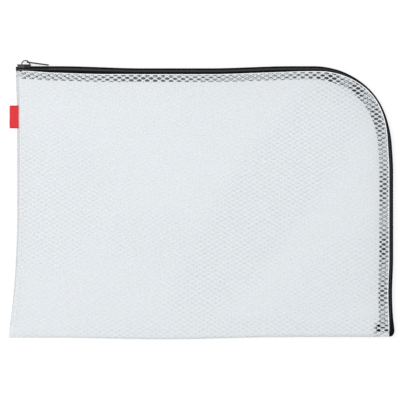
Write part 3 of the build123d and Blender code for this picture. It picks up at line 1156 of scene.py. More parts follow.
@dataclass
class NetSheet:
    """One face of the folded vinyl sheet: its open part, half the bottom fold and one turned seam edge."""

    plan: WalletPlan
    path: ZipPath
    face: Face
    net_turn: float
    net_shift: Point
    seam_share: float = 0.72
    seam_gap: float = 0.3
    seam_gap_share: float = 0.1
    back_turn: float = 1.9
    back_turn_share: float = 0.35
    front_turn: float = 0.35
    front_turn_share: float = 0.1
    least_radius: float = 0.12
    allowance: float = 4.0
    allowance_end: float = 12.0
    foot_rise: float = 2.0
    foot_step: float = 2.0
    spacing: float = 5.0
    row_share: float = 0.87
    point_gap: float = 1.0
    last_gap: float = 3.0
    turn_room: float = 2.0
    end_room: float = 6.0
    edge_insets: tuple[float, ...] = (1.0, 2.4, 4.4)
    tape_shifts: tuple[float, ...] = (-0.5, 0.9)
    arc_steps: int = 8
    tight_steps: int = 4
    corner_steps: int = 32
    inner_corner_steps: int = 25
    merge_within: float = 1e-4

    @property
    def half(self) -> float:
        """Half the sheet's thickness."""
        return self.plan.sheet / 2.0

    @property
    def half_space(self) -> float:
        """Half the spacing of the sheet's points."""
        return self.spacing / 2.0

    @property
    def foot(self) -> float:
        """Flat X of the left edge just above the bottom."""
        return float(self.seam_reach(np.array(self.plan.bottom + self.foot_rise), False))

    @property
    def stands_for(self) -> tuple[str, ...]:
        """Nodes that the sheet replaces."""
        if self.face is Face.FRONT:
            return "front_panel", "front_flap", "left_seam_front", "bottom_fold"
        return "back_panel", "left_seam_back"

    def fold_radius(self, x: np.ndarray) -> np.ndarray:
        """Radius of the bottom fold at X."""
        return self.plan.depth(x, self.plan.bottom) / 2.0

    def fold_line(self, x: np.ndarray) -> np.ndarray:
        """Y at which the sheet starts to turn into the bottom fold."""
        return self.plan.bottom + self.half + self.fold_radius(x)

    def side_depth(self, y: np.ndarray) -> np.ndarray:
        """Space between the sheets at the left seam."""
        return self.plan.depth(self.plan.left_edge(y), y)

    def seam_level(self, y: np.ndarray) -> np.ndarray:
        """Height of the left seam's middle, which lies nearer the front than the back."""
        return self.half + self.seam_share * self.side_depth(y)

    def turn_of(self, face: Face, y: np.ndarray) -> np.ndarray:
        """Radius at which a sheet turns in at the seam: wide on the back, tight on the front.

        Args:
            face: Which sheet.
            y: Plan Y.

        Returns:
            The radius at each height.
        """
        widest, share = self.front_turn, self.front_turn_share
        if face is Face.BACK:
            widest, share = self.back_turn, self.back_turn_share
        return np.minimum(widest, share * self.side_depth(y))

    def seam_turn(self, y: np.ndarray) -> np.ndarray:
        """Radius at which this sheet turns in at the seam."""
        return self.turn_of(self.face, y)

    def seam_edge(self, y: np.ndarray) -> np.ndarray:
        """X of the middle of the sheet at its outermost line by the left seam.

        Args:
            y: Plan Y.

        Returns:
            The X at each height, further in on the front.
        """
        edge = self.plan.left_edge(y) + self.half
        if self.face is Face.FRONT:
            edge = edge + self.turn_of(Face.BACK, y) - self.half
        return edge

    def seam_radius(self, y: np.ndarray) -> np.ndarray:
        """Radius of the turned edge at the left seam.

        Args:
            y: Plan Y.

        Returns:
            The radius at each height.
        """
        share = self.seam_share if self.face is Face.BACK else 1.0 - self.seam_share
        gap = np.minimum(self.seam_gap, self.seam_gap_share * self.side_depth(y))
        return np.maximum(share * self.side_depth(y) - gap - self.seam_turn(y), self.least_radius)

    def seam_line(self, y: np.ndarray) -> np.ndarray:
        """X at which the sheet starts to turn into the left seam."""
        return self.seam_edge(y) + self.seam_radius(y)

    def seam_reach(self, y: np.ndarray, turned: bool) -> np.ndarray:
        """Flat X at which the sheet ends at the left seam.

        Args:
            y: Plan Y.
            turned: Whether its allowance is still there.

        Returns:
            The X at each height.
        """
        reach = self.seam_line(y) - self.seam_radius(y) * QUARTER
        if turned:
            reach = reach - self.seam_turn(y) * QUARTER - (self.allowance - self.seam_turn(y))
        return reach

    def on_corner(self, radius: float, turn: np.ndarray) -> np.ndarray:
        """Rows of X and Y on a circle about the centre of the round corner."""
        return paired(self.plan.arc_x + radius * np.cos(turn), self.plan.arc_y + radius * np.sin(turn))

    def outline(self) -> np.ndarray:
        """Edge of the flat cut.

        Returns:
            Rows of flat X and Y, counter-clockwise.
        """
        plan = self.plan
        along = np.append(np.arange(self.foot, plan.edge_x - self.last_gap, self.spacing), plan.edge_x)
        low = paired(along, self.fold_line(along) - self.fold_radius(along) * QUARTER)
        right = paired(plan.edge_x, np.arange(plan.bottom + self.end_room, plan.arc_y, self.spacing))
        corner = self.on_corner(plan.sheet_corner, np.linspace(0.0, QUARTER, self.corner_steps + 1))
        head = float(self.seam_reach(np.array(plan.edge_y), True))
        top_x = np.arange(plan.arc_x - self.spacing, head + self.point_gap, -self.spacing)
        notch = plan.bottom + self.allowance_end
        heights = np.append(np.arange(plan.edge_y, notch + self.turn_room, -self.spacing), notch)
        turned = paired(self.seam_reach(heights, True), heights)
        lower = np.arange(notch, plan.bottom + self.half_space, -self.foot_step)
        plain = paired(self.seam_reach(lower, False), lower)
        return np.concatenate([low, right, corner, paired(top_x, plan.edge_y), turned, plain])

    def middle_points(self) -> np.ndarray:
        """Points on the open part of the sheet.

        Returns:
            Rows of flat X and Y, staggered from row to row.
        """
        plan = self.plan
        rows = []
        for number, height in enumerate(np.arange(plan.bottom, plan.top, self.spacing * self.row_share)):
            start = plan.left - plan.flare_width - self.turn_room + (number % 2) * self.half_space
            rows.append(paired(np.arange(start, plan.right, self.spacing), height))
        found = np.concatenate(rows)
        x, y = found[:, 0], found[:, 1]
        chain = inside_round(x, y, self.path.right, self.path.top, self.path.radius)
        past_tape = chain > self.path.tape_reach + self.half_space
        past_seam = x > self.seam_line(y) + self.turn_room
        return found[past_tape & past_seam & (y > self.fold_line(x) + self.turn_room)]

    def edge_points(self) -> np.ndarray:
        """Points beside the zip, closer together where the sheet dips.

        Returns:
            Rows of flat X and Y.
        """
        plan = self.plan
        left, low = plan.left + self.end_room, plan.bottom + self.end_room
        turn = np.linspace(QUARTER, 0.0, self.inner_corner_steps + 1)
        rows = []
        for inset in self.edge_insets:
            rows.append(paired(np.arange(left, plan.arc_x, self.spacing), plan.edge_y - inset))
            rows.append(self.on_corner(plan.sheet_corner - inset, turn))
            rows.append(paired(plan.edge_x - inset, np.arange(plan.arc_y - self.spacing, low, -self.spacing)))
        run = np.arange(self.path.distance_at_x(left), self.path.distance_at_y(low), self.spacing)
        points, _, inward = self.path.at(run)
        rows += [points + inward * (self.path.tape_reach + shift) for shift in self.tape_shifts]
        found = np.concatenate(rows)
        return found[found[:, 0] > self.seam_line(found[:, 1]) + self.point_gap]

    def turn_points(self) -> np.ndarray:
        """Points in rows along the bottom fold and in columns along the left seam.

        Returns:
            Rows of flat X and Y.
        """
        plan = self.plan
        shares = np.linspace(0.0, 1.0, self.arc_steps + 1)
        x = np.arange(self.foot + self.last_gap, plan.edge_x - self.point_gap, self.spacing)
        fold = self.fold_radius(x) * QUARTER
        rows = [paired(x, self.fold_line(x) - share * fold) for share in shares[:-1]]
        y = np.arange(plan.edge_y - self.half_space, plan.bottom + self.end_room, -self.spacing)
        line, wide, tight = self.seam_line(y), self.seam_radius(y) * QUARTER, self.seam_turn(y) * QUARTER
        reaches = [line - share * wide for share in shares]
        tight_shares = np.linspace(0.0, 1.0, self.tight_steps + 1)[1:]
        reaches += [line - wide - share * tight for share in tight_shares]
        reaches.append(line - wide - tight - (self.allowance - self.seam_turn(y)) / 2.0)
        turned = y > plan.bottom + self.allowance_end + self.point_gap
        columns = [paired(reach, y) for reach in reaches]
        rows += [row if number < self.arc_steps else row[turned] for number, row in enumerate(columns)]
        return np.concatenate(rows)

    def folded(self, flat: np.ndarray) -> np.ndarray:
        """Flat points taken round the bottom fold and the left seam into space.

        Args:
            flat: Rows of flat X and Y.

        Returns:
            Rows of X, Y and Z.
        """
        flat_x, flat_y = flat[:, 0], flat[:, 1]
        past = self.fold_line(flat_x) - flat_y
        onward, fold_drop = quarter_turn(past, self.fold_radius(flat_x))
        y = np.where(past > 0.0, self.fold_line(flat_x) - onward, flat_y)
        past = self.seam_line(y) - flat_x
        onward, seam_drop = quarter_turn(past, self.seam_radius(y))
        x = np.where(past > 0.0, self.seam_line(y) - onward, flat_x)
        past, tight = past - self.seam_radius(y) * QUARTER, self.seam_turn(y)
        onward, inward = quarter_turn(past, tight)
        inward = inward + np.maximum(past - tight * QUARTER, 0.0)
        x = np.where(past > 0.0, self.seam_edge(y) + inward, x)
        seam_drop = seam_drop + onward
        most = np.maximum(self.plan.depth(x, y) / 2.0, seam_drop)
        drop = np.minimum(np.hypot(fold_drop, seam_drop), most)
        return np.stack([x, y, self.plan.level(self.face, x, y) - self.face.side * drop], axis=1)

    def net(self, flat: np.ndarray) -> np.ndarray:
        """Flat points in the net's own directions."""
        return rotated(flat, self.net_turn) + np.array(self.net_shift)

    def face_finishes(self, flat: np.ndarray, faces: list[tuple[int, ...]]) -> list[int]:
        """Which finish each face has: that of the open sheet, or of the turned edge at the left seam.

        Args:
            flat: Rows of flat X and Y.
            faces: Faces by row number.

        Returns:
            The number of each face's material.
        """
        middles = np.array([flat[list(face)].mean(axis=0) for face in faces])
        turned = middles[:, 0] < self.seam_line(middles[:, 1])
        # Faces of the turned seam edge take the net copy with painted shade.
        return np.where(turned, SheetPart.SEAM, SheetPart.OPEN).tolist()

    def shape(self) -> bpy.types.Object:
        """Returns:
            The sheet's object.
        """
        edge = self.outline()
        flat = np.concatenate([edge, self.middle_points(), self.edge_points(), self.turn_points()])
        ring = list(range(len(edge)))
        points = [Vector(row) for row in flat.tolist()]
        found = delaunay_2d_cdt(points, [], [ring], INSIDE_ONLY, self.merge_within)
        flat = np.array([tuple(point) for point in found[0]], float)
        faces = [tuple(face) for face in found[2]]
        if self.face is Face.BACK:
            faces = [face[::-1] for face in faces]
        sketch = MeshSketch(f"{self.face.value}_sheet")
        placed = self.folded(flat)
        x, y = placed[:, 0], placed[:, 1]
        contact = np.column_stack([self.path.contact(self.face, x, y), self.plan.nearness(self.face, x, y)])
        sketch.add(placed, self.net(flat), faces, self.face_finishes(flat, faces), contact)
        hem_width, hem_length = ZipEdge(self.plan, self.path, self.face).add_hem(sketch, self.net)
        made = sketch.make(self.plan)
        return made

    def build(self, finishes: Finishes) -> bpy.types.Object:
        """Shape and dress the sheet, and hide the nodes that it stands for.

        Args:
            finishes: The wallet's finishes.

        Returns:
            The sheet's object.
        """
        made = self.shape()
        dress(made, Slot.VINYL, finishes.net, finishes.hem_net, finishes.seam_net)
        self.plan.carry(made, self.face)
        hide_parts(*self.stands_for)
        return made


@dataclass
class ZipEdge:
    """Edge of one sheet along the zip: the hem turned under it, its rounded bead and the row of stitches."""

    plan: WalletPlan
    path: ZipPath
    face: Face
    start_room: float = 4.8
    end_room: float = 5.2
    step: float = 2.5
    hem_short: float = 0.3
    hem_gap: float = 0.32
    hem_start_share: float = 0.02
    hem_columns: int = 7
    mesh_height: float = NetVinyl.pitch_y
    drift_start: float = -53.5
    top_drift: float = 181.0
    corner_drift: float = 1.55
    side_drift: float = 55.0
    side_gain: float = 0.00004
    drift_rest: float = 0.518
    side_shift: float = 0.3
    head_shift: float = 1.1
    head_shift_end: Span = (-125.0, -90.0)
    bead_radius: float = 0.42
    bead_flatness: float = 0.9
    bead_inset: float = 0.12
    bead_sides: int = 8
    stitch_inset: float = 1.7
    stitch_step: float = 0.5

    def run(self, step: float) -> np.ndarray:
        """Distances along the zip.

        Args:
            step: Distance from one to the next.

        Returns:
            The distances, from the left seam to the bottom fold.
        """
        start = self.path.distance_at_x(self.plan.left + self.start_room)
        end = self.path.distance_at_y(self.plan.bottom + self.end_room)
        return np.linspace(start, end, int((end - start) / step) + 1)

    def places(self, run: np.ndarray, inset: np.ndarray | float) -> tuple[np.ndarray, np.ndarray]:
        """Points on the sheet beside the zip.

        Args:
            run: Distances along the zip.
            inset: Distance in from the sheet's edge, one for all or one for each.

        Returns:
            Rows of X, Y, Z on the middle of the sheet, and rows of the direction along the zip.
        """
        points, along, inward = self.path.at(run)
        band = -self.plan.inside(points[:, 0], points[:, 1])
        places = points + inward * (band + inset)[:, None]
        z = self.plan.level(self.face, places[:, 0], places[:, 1])
        return np.column_stack([places, z]), along

    def drift(self, x: np.ndarray, y: np.ndarray) -> np.ndarray:
        """How far the turned hem's net has crept against the sheet's net, more down the side than on top.

        Args:
            x: Plan X.
            y: Plan Y.

        Returns:
            Rows of the creep along the net's two directions, in millimetres.
        """
        meshes = (x - self.drift_start) / self.top_drift - y / self.side_drift + self.side_gain * y ** 2
        on_side = ease(self.plan.arc_x, self.plan.edge_x, x)
        at_head = 1.0 - ease(*self.head_shift_end, x)
        creep = self.mesh_height * (meshes + self.corner_drift * on_side + self.drift_rest)
        return paired(self.side_shift * on_side + self.head_shift * at_head, creep)

    def add_hem(self, sketch: MeshSketch, net: Callable[[np.ndarray], np.ndarray]) -> Point:
        """Add the strip of sheet that is turned under along the zip.

        Args:
            sketch: The sheet that it belongs to.
            net: Turns flat points into the net's own directions.

        Returns:
            The strip's mean width and its length.
        """
        run = self.run(self.step)
        points, _, _ = self.path.at(run)
        width = self.path.tape_reach - self.hem_short + self.plan.inside(points[:, 0], points[:, 1])
        columns, flats = [], []
        for share in np.linspace(self.hem_start_share, 1.0, self.hem_columns):
            places, _ = self.places(run, share * width)
            flats.append(net(places[:, :2]) + self.drift(places[:, 0], places[:, 1]))
            places[:, 2] -= self.face.side * self.hem_gap
            columns.append(places)
        sketch.add_grid(np.stack(columns, axis=1), np.stack(flats, axis=1), finish=SheetPart.HEM)
        return float(width.mean()), float(run[-1] - run[0])

    def shape_bead(self) -> bpy.types.Object:
        """Shape the rounded edge where the hem turns under.

        Returns:
            The bead's object.
        """
        run = self.run(self.step)
        centre, along = self.places(run, self.bead_inset)
        centre[:, 2] -= self.face.side * self.hem_gap / 2.0
        across = np.column_stack([along[:, 1], -along[:, 0], np.zeros(len(run))])
        ring = ring_turns(self.bead_sides)
        grid = centre[:, None, :] + self.bead_radius * np.cos(ring)[None, :, None] * across[:, None, :]
        grid[:, :, 2] += self.bead_flatness * self.bead_radius * np.sin(ring)[None, :]
        sketch = MeshSketch(f"{self.face.value}_edge_bead")
        sketch.add_grid(grid, flat_grid(run, ring * self.bead_radius), closed=True)
        return sketch.make(self.plan)

    def shape_stitches(self) -> bpy.types.Object:
        """Shape the row of stitches that holds the sheet to the tape.

        Returns:
            The row's object.
        """
        line, _ = self.places(self.run(self.stitch_step), self.stitch_inset)
        line[:, 2] += self.face.side * self.plan.sheet / 2.0
        return StitchRow(f"{self.face.value}_zip_stitches", self.face.side).shape(line, self.plan)

    def build(self, finishes: Finishes) -> list[bpy.types.Object]:
        """Shape and dress the bead and the stitches.

        Args:
            finishes: The wallet's finishes.

        Returns:
            The two pieces.
        """
        made = [self.shape_bead(), self.shape_stitches()]
        for piece, material in zip(made, (finishes.bead, finishes.thread)):
            dress(piece, Slot.VINYL, material)
            self.plan.carry(piece, self.face)
        return made


@dataclass
class StitchRow:
    """Row of sewn stitches, each a short thread that dips into the sheet at its ends."""

    name: str
    side: float
    length: float = 2.3
    pitch: float = 3.0
    width: float = 0.46
    rise: float = 0.2
    sink: float = 0.08
    first: float = 0.4
    end_share: float = 0.45
    flatness: float = 0.7
    rings: int = 6
    sides: int = 6

    def shape(self, line: np.ndarray, plan: WalletPlan) -> bpy.types.Object:
        """Lay stitches along a line.

        Args:
            line: Rows of X, Y, Z on the sheet's surface, close together.
            plan: The wallet's plan.

        Returns:
            The row as one object.
        """
        steps = np.linalg.norm(np.diff(line, axis=0), axis=1)
        run = np.concatenate([[0.0], np.cumsum(steps)])
        share = np.linspace(0.0, 1.0, self.rings)
        arch = np.sin(pi * share)
        size = self.width / 2.0 * (self.end_share + (1.0 - self.end_share) * arch)
        ring = ring_turns(self.sides)
        sketch = MeshSketch(self.name)
        for start in np.arange(self.first, run[-1] - self.length, self.pitch):
            at = start + share * self.length
            centre = np.stack([np.interp(at, run, line[:, axis]) for axis in range(3)], axis=1)
            heading = centre[-1] - centre[0]
            heading = heading / np.linalg.norm(heading)
            across = np.array([-heading[1], heading[0], 0.0])
            centre[:, 2] += self.side * (self.rise * arch - self.sink)
            grid = centre[:, None, :] + (size[:, None] * np.cos(ring)[None, :])[:, :, None] * across
            grid[:, :, 2] += size[:, None] * self.flatness * np.sin(ring)[None, :]
            sketch.add_grid(grid, flat_grid(at, ring * self.width / 2.0), closed=True)
        return sketch.make(plan)


@dataclass
class LeftSeam:
    """Stitches of the closed seam on the left, in a row on each face."""

    plan: WalletPlan
    sheets: dict[Face, NetSheet]
    inset: float = 4.1
    head_room: float = 2.0
    foot_room: float = 7.0
    step: float = 1.0
    lift: float = 0.1
    thread: float = 0.85
    stitch: float = 2.8

    def shape(self, face: Face) -> bpy.types.Object:
        """Shape one face's row of stitches.

        Args:
            face: Which face.

        Returns:
            The row's object.
        """
        y = np.arange(self.plan.edge_y - self.head_room, self.plan.bottom + self.foot_room, -self.step)
        line = self.sheets[face].folded(paired(self.plan.seam_x(y) + self.inset, y))
        line[:, 2] += face.side * self.lift
        row = StitchRow(f"{face.value}_seam_stitches", face.side, width=self.thread, length=self.stitch)
        return row.shape(line, self.plan)

    def build(self, finishes: Finishes) -> list[bpy.types.Object]:
        """Shape and dress both rows.

        Args:
            finishes: The wallet's finishes.

        Returns:
            The two rows.
        """
        made = [self.shape(face) for face in Face]
        for row in made:
            dress(row, Slot.VINYL, finishes.thread)
            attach(row, Body.BASE.value)
        return made


@dataclass
class Label:
    """Red cloth label: a ribbon folded in half, with its ends caught in the left seam."""

    plan: WalletPlan
    front: NetSheet
    high: float = 85.8
    low: float = 65.5
    out: float = -174.2
    tail: float = -164.4
    free_from: float = 1.0
    gap: float = 0.13
    gap_swell: float = 0.5
    gap_swell_span: Span = (0.0, 3.0)
    cloth: float = 0.2
    droop: float = 1.7
    droop_span: Span = (0.0, 7.0)
    curl: float = 0.012
    curl_rate: float = 0.19
    curl_start: float = 0.5
    sway: float = 0.08
    sway_rate: float = 0.6
    sway_span: Span = (0.0, 4.0)
    columns: int = 12
    fold_steps: int = 6
    rows: int = 15

    def shape(self) -> bpy.types.Object:
        """Returns:
            The label's object.
        """
        out = np.linspace(self.tail, self.out, self.columns)
        turn = np.linspace(QUARTER, 3.0 * QUARTER, self.fold_steps + 1)[1:-1]
        x = np.concatenate([out, self.out + self.gap * np.cos(turn), out[::-1]])
        layer = np.full(self.columns, self.gap)
        lift = np.concatenate([layer, self.gap * np.sin(turn), -layer])
        y = np.linspace(self.high, self.low, self.rows)
        beyond = np.clip(self.plan.left + self.free_from - x, 0.0, None)
        curl = self.curl * np.sin(self.curl_rate * (y - self.low) + self.curl_start)
        sway = self.sway * np.sin(self.sway_rate * y)
        swelling = 1.0 + self.gap_swell * ease(*self.gap_swell_span, beyond)
        hang = self.droop * ease(*self.droop_span, beyond)
        grid = np.empty((len(y), len(x), 3))
        grid[:, :, 0] = x[None, :] + sway[:, None] * ease(*self.sway_span, beyond)[None, :]
        grid[:, :, 1] = y[:, None]
        grid[:, :, 2] = self.front.seam_level(y)[:, None] + (lift * swelling - hang)[None, :]
        grid[:, :, 2] += curl[:, None] * beyond[None, :] ** 2
        along = np.concatenate([[0.0], np.cumsum(np.hypot(np.diff(x), np.diff(lift)))])
        centred = y - (self.high + self.low) / 2.0
        sketch = MeshSketch("label")
        sketch.add_grid(grid, flat_grid(centred, along)[..., ::-1])
        made = sketch.make(self.plan, bow=False)
        thicken(made, self.cloth)
        return made

    def build(self, finishes: Finishes) -> bpy.types.Object:
        """Shape and dress the label, and hide the node that it stands for.

        Args:
            finishes: The wallet's finishes.

        Returns:
            The label's object.
        """
        made = self.shape()
        dress(made, Slot.LABEL, finishes.ribbon)
        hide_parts("side_label")
        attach(made, Body.BASE.value)
        return made


@dataclass
class ZipTape:
    """One tape of the zip: sewn under its sheet, and rounded over to the row of coils."""

    plan: WalletPlan
    path: ZipPath
    face: Face
    cloth: float = 0.4
    coil_side: float = 1.55
    coil_level: float = 3.35
    under: float = 1.55
    ridge: float = 0.4
    lip: float = 6.1
    band_over: float = 0.4
    least_band: float = 3.0
    seam_room: float = 2.6
    shade_share: float = 0.42
    ridge_shares: tuple[float, ...] = (0.0, 0.06, 0.14, 0.26, 0.42, 0.62, 0.82, 1.0)
    inner_shares: tuple[float, ...] = (0.12, 0.3, 0.55, 0.8, 1.0)
    step: float = 2.0

    @property
    def stands_for(self) -> list[str]:
        """Nodes that the tape replaces.

        Returns:
            The nodes' names.
        """
        stretches = ["top", "corner", "side"]
        if self.face is Face.FRONT:
            stretches = ["start", *stretches, "end"]
        return [f"{self.face.value}_tape_{stretch}" for stretch in stretches]

    def column_parts(self) -> np.ndarray:
        """Which part of the tape each column of quads belongs to.

        Returns:
            The part's number for each column, from the coil inwards.
        """
        # Columns from the shade share inwards take the painted-shade copy of the tape.
        border = [share >= self.shade_share for share in self.ridge_shares[:-1]]
        border += [True] * len(self.inner_shares)
        return np.where(border, TapePart.BORDER, TapePart.RIDGE)

    def height(self, place: np.ndarray, share: np.ndarray, band: np.ndarray) -> np.ndarray:
        """Height of the tape, which rises in a ridge between the coil and the sheet.

        Args:
            place: Rows of plan X and Y.
            share: Share of the way from the coil to the sheet's edge.
            band: Distance from the zip's outer line to that edge.

        Returns:
            The height at each place.
        """
        sheet = self.plan.from_face(self.face, self.plan.level(self.face, place[:, 0], place[:, 1]))
        ridge = self.ridge * (band - self.coil_side) * np.sin(pi * share)
        z = self.coil_level + (sheet + self.under - self.coil_level) * share - ridge
        return self.plan.from_face(self.face, z)

    def shape(self) -> bpy.types.Object:
        """Returns:
            The tape's object.
        """
        run = np.linspace(0.0, self.path.length, int(self.path.length / self.step) + 1)
        points, _, inward = self.path.at(run)
        sheet_edge = -self.plan.inside(points[:, 0], points[:, 1])
        band = np.maximum(sheet_edge + self.band_over, self.least_band)
        inner = self.path.reach(self.face, self.path.length - run)
        offsets = [self.coil_side + share * (band - self.coil_side) for share in self.ridge_shares]
        offsets += [band + share * (inner - band) for share in self.inner_shares]
        columns, flats = [], []
        for offset in offsets:
            place = points + inward * offset[:, None]
            share = np.clip((offset - self.coil_side) / (band - self.coil_side), 0.0, 1.0)
            columns.append(np.column_stack([place, self.height(place, share, band)]))
            flats.append(paired(run, offset))
        grid, flat = np.stack(columns, axis=1), np.stack(flats, axis=1)
        in_seam = grid[:-1, :-1, 0] < self.plan.left + self.seam_room
        keep = ~(in_seam & (flat[:-1, 1:, 1] > self.lip))
        sketch = MeshSketch(f"{self.face.value}_tape")
        sketch.add_grid(grid, flat, keep=keep, finish=self.column_parts())
        made = sketch.make(self.plan)
        thicken(made, self.cloth)
        size = (self.path.tape_reach * MM, self.path.length * MM)
        return made

    def build(self, finishes: Finishes) -> bpy.types.Object:
        """Shape and dress the tape, and hide the nodes that it stands for.

        Args:
            finishes: The wallet's finishes.

        Returns:
            The tape's object.
        """
        made = self.shape()
        dress(made, Slot.TAPE, finishes.tape, finishes.tape_border)
        self.plan.carry(made, self.face)
        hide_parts(*self.stands_for)
        return made


@dataclass
class ZipCoil:
    """One row of the zip: a nylon filament wound into a flat coil whose heads mesh with the other row."""

    plan: WalletPlan
    path: ZipPath
    face: Face
    pitch: float = 1.25
    wire: float = 0.36
    depth_middle: float = 0.97
    depth_half: float = 0.64
    level_middle: float = 3.7
    level_half: float = 0.84
    mouth_spread: float = 1.5
    mouth_span: Span = (-164.6, -160.6)
    start_x: float = -167.75
    end_y: float = -109.0
    turn_steps: int = 12
    sides: int = 6

    @property
    def stands_for(self) -> list[str]:
        """Nodes that the coil replaces.

        Returns:
            The nodes' names.
        """
        stretches = ["mouth", "top", "corner", "side"]
        if self.face is Face.FRONT:
            stretches.insert(1, "start")
        return [f"{self.face.value}_coil_{stretch}" for stretch in stretches]

    def shape(self) -> bpy.types.Object:
        """Wind the coil along the zip.

        Returns:
            The coil's object.
        """
        start = self.path.distance_at_x(self.start_x)
        end = self.path.distance_at_y(self.end_y)
        if self.face is Face.FRONT:
            start += self.pitch / 2.0
        turns = int((end - start) / self.pitch)
        angle = np.linspace(0.0, TURN * turns, turns * self.turn_steps + 1)
        run = start + angle * self.pitch / TURN
        points, along, inward = self.path.at(run)
        inset = self.depth_middle + self.depth_half * np.cos(angle)
        spread = self.mouth_spread * (1.0 - ease(*self.mouth_span, points[:, 0]))
        level = self.level_middle - spread + self.level_half * np.sin(angle)
        level = self.plan.from_face(self.face, level)
        centre = np.column_stack([points + inward * inset[:, None], level])
        outward = np.column_stack([inward * np.cos(angle)[:, None], -self.face.side * np.sin(angle)])
        heading = np.column_stack([along, np.zeros(len(run))])
        ring = ring_turns(self.sides)
        section = np.cos(ring)[None, :, None] * outward[:, None, :]
        section = section + np.sin(ring)[None, :, None] * heading[:, None, :]
        sketch = MeshSketch(f"{self.face.value}_coil")
        grid = centre[:, None, :] + self.wire * section
        sketch.add_grid(grid, flat_grid(run, ring * self.wire), closed=True)
        return sketch.make(self.plan)

    def build(self, finishes: Finishes) -> bpy.types.Object:
        """Shape and dress the coil, and hide the nodes that it stands for.

        Args:
            finishes: The wallet's finishes.

        Returns:
            The coil's object.
        """
        made = self.shape()
        dress(made, Slot.COIL, finishes.coil)
        self.plan.carry(made, self.face)
        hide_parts(*self.stands_for)
        return made


@dataclass
class EndTab:
    """Cloth end that closes the chain at the bottom right and flares from the chain to a round foot."""

    plan: WalletPlan
    head_y: float = -100.0
    foot_y: float = -120.3
    head_in: float = 165.9
    head_out: float = 168.05
    foot_in: float = 164.3
    foot_out: float = 169.2
    in_flare: Span = (0.0, 0.5)
    out_flare: Span = (0.1, 0.85)
    half_height: float = 2.5
    end_height_share: float = 0.9
    foot_height_share: float = 0.45
    foot_width_share: float = 0.25
    foot_round: float = 0.3
    foot_roundness: float = 0.98
    row_crowding: float = 1.6
    squareness: float = 0.6
    weave_stretch: float = 2.0
    rows: int = 30
    sides: int = 24

    def shape(self) -> bpy.types.Object:
        """Shape the tab as a flared bar whose rows crowd towards its foot.

        Returns:
            The tab's object.
        """
        share = 1.0 - (1.0 - np.linspace(0.0, 1.0, self.rows)) ** self.row_crowding
        y = self.head_y + (self.foot_y - self.head_y) * share
        inner = self.head_in + (self.foot_in - self.head_in) * ease(*self.in_flare, share)
        outer = self.head_out + (self.foot_out - self.head_out) * ease(*self.out_flare, share)
        last = share_along(1.0 - self.foot_round, 1.0, share)
        rounding = np.sqrt(1.0 - self.foot_roundness * last ** 2)
        width = (outer - inner) * (self.foot_width_share + (1.0 - self.foot_width_share) * rounding)
        height = self.half_height * (self.foot_height_share + (1.0 - self.foot_height_share) * rounding)
        height = height * (self.end_height_share + (1.0 - self.end_height_share) * np.sin(pi * share))
        ring = ring_turns(self.sides)
        side = np.sign(np.cos(ring)) * np.abs(np.cos(ring)) ** self.squareness
        rise = np.sign(np.sin(ring)) * np.abs(np.sin(ring)) ** self.squareness
        grid = np.empty((self.rows, self.sides, 3))
        grid[:, :, 0] = inner[:, None] + width[:, None] * (1.0 + side[None, :]) / 2.0
        grid[:, :, 1] = y[:, None]
        grid[:, :, 2] = self.plan.thickness / 2.0 + height[:, None] * rise[None, :]
        sketch = MeshSketch("zip_end")
        sketch.add_grid(grid, flat_grid(y, ring * self.weave_stretch), closed=True)
        return sketch.make(self.plan)

    def build(self, finishes: Finishes) -> bpy.types.Object:
        """Shape and dress the tab, and hide the node that it stands for.

        Args:
            finishes: The wallet's finishes.

        Returns:
            The tab's object.
        """
        made = self.shape()
        # The tab wears the painted-shade copy of the tape, which darkens it.
        dress(made, Slot.TAPE, finishes.tape_border)
        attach(made, Body.BASE.value)
        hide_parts("zip_end_tab")
        return made


@dataclass
class ZipMetal:
    """Cast metal of the zip, which keeps its solids: slider, pull and the stops at the closed end."""

    nodes: tuple[str, ...] = ("slider_body", "pull_tab", "start_stops")
    edge: float = 0.16
    edge_steps: int = 2
    edge_angle: float = 0.6

    def soften(self, solid: bpy.types.Object) -> None:
        """Round a solid's edges.

        Args:
            solid: The solid.
        """
        rounding = solid.modifiers.new("soft_edges", "BEVEL")
        rounding.width = self.edge * MM
        rounding.segments = self.edge_steps
        rounding.limit_method = "ANGLE"
        rounding.angle_limit = self.edge_angle

    def build(self, finishes: Finishes) -> list[bpy.types.Object]:
        """Round the solids' edges and give them their enamel.

        Args:
            finishes: The wallet's finishes.

        Returns:
            The dressed solids.
        """
        dressed = [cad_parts[name] for name in self.nodes]
        for solid in dressed:
            for holder in solid.material_slots:
                holder.material = finishes.enamel
            self.soften(solid)
        return dressed


@dataclass(frozen=True)
class Lamp:
    """Square soft lamp that faces the wallet, in metres and watts."""

    name: str
    place: tuple[float, float, float]
    span: float
    power: float

    def hang(self) -> None:
        """Add the lamp to the scene."""
        light = bpy.data.lights.new(self.name, "AREA")
        light.shape = "SQUARE"
        light.size = self.span
        light.energy = self.power
        hung = bpy.data.objects.new(self.name, light)
        hung.location = self.place
        hung.rotation_euler = (-Vector(self.place)).to_track_quat("-Z", "Y").to_euler()
        bpy.context.scene.collection.objects.link(hung)


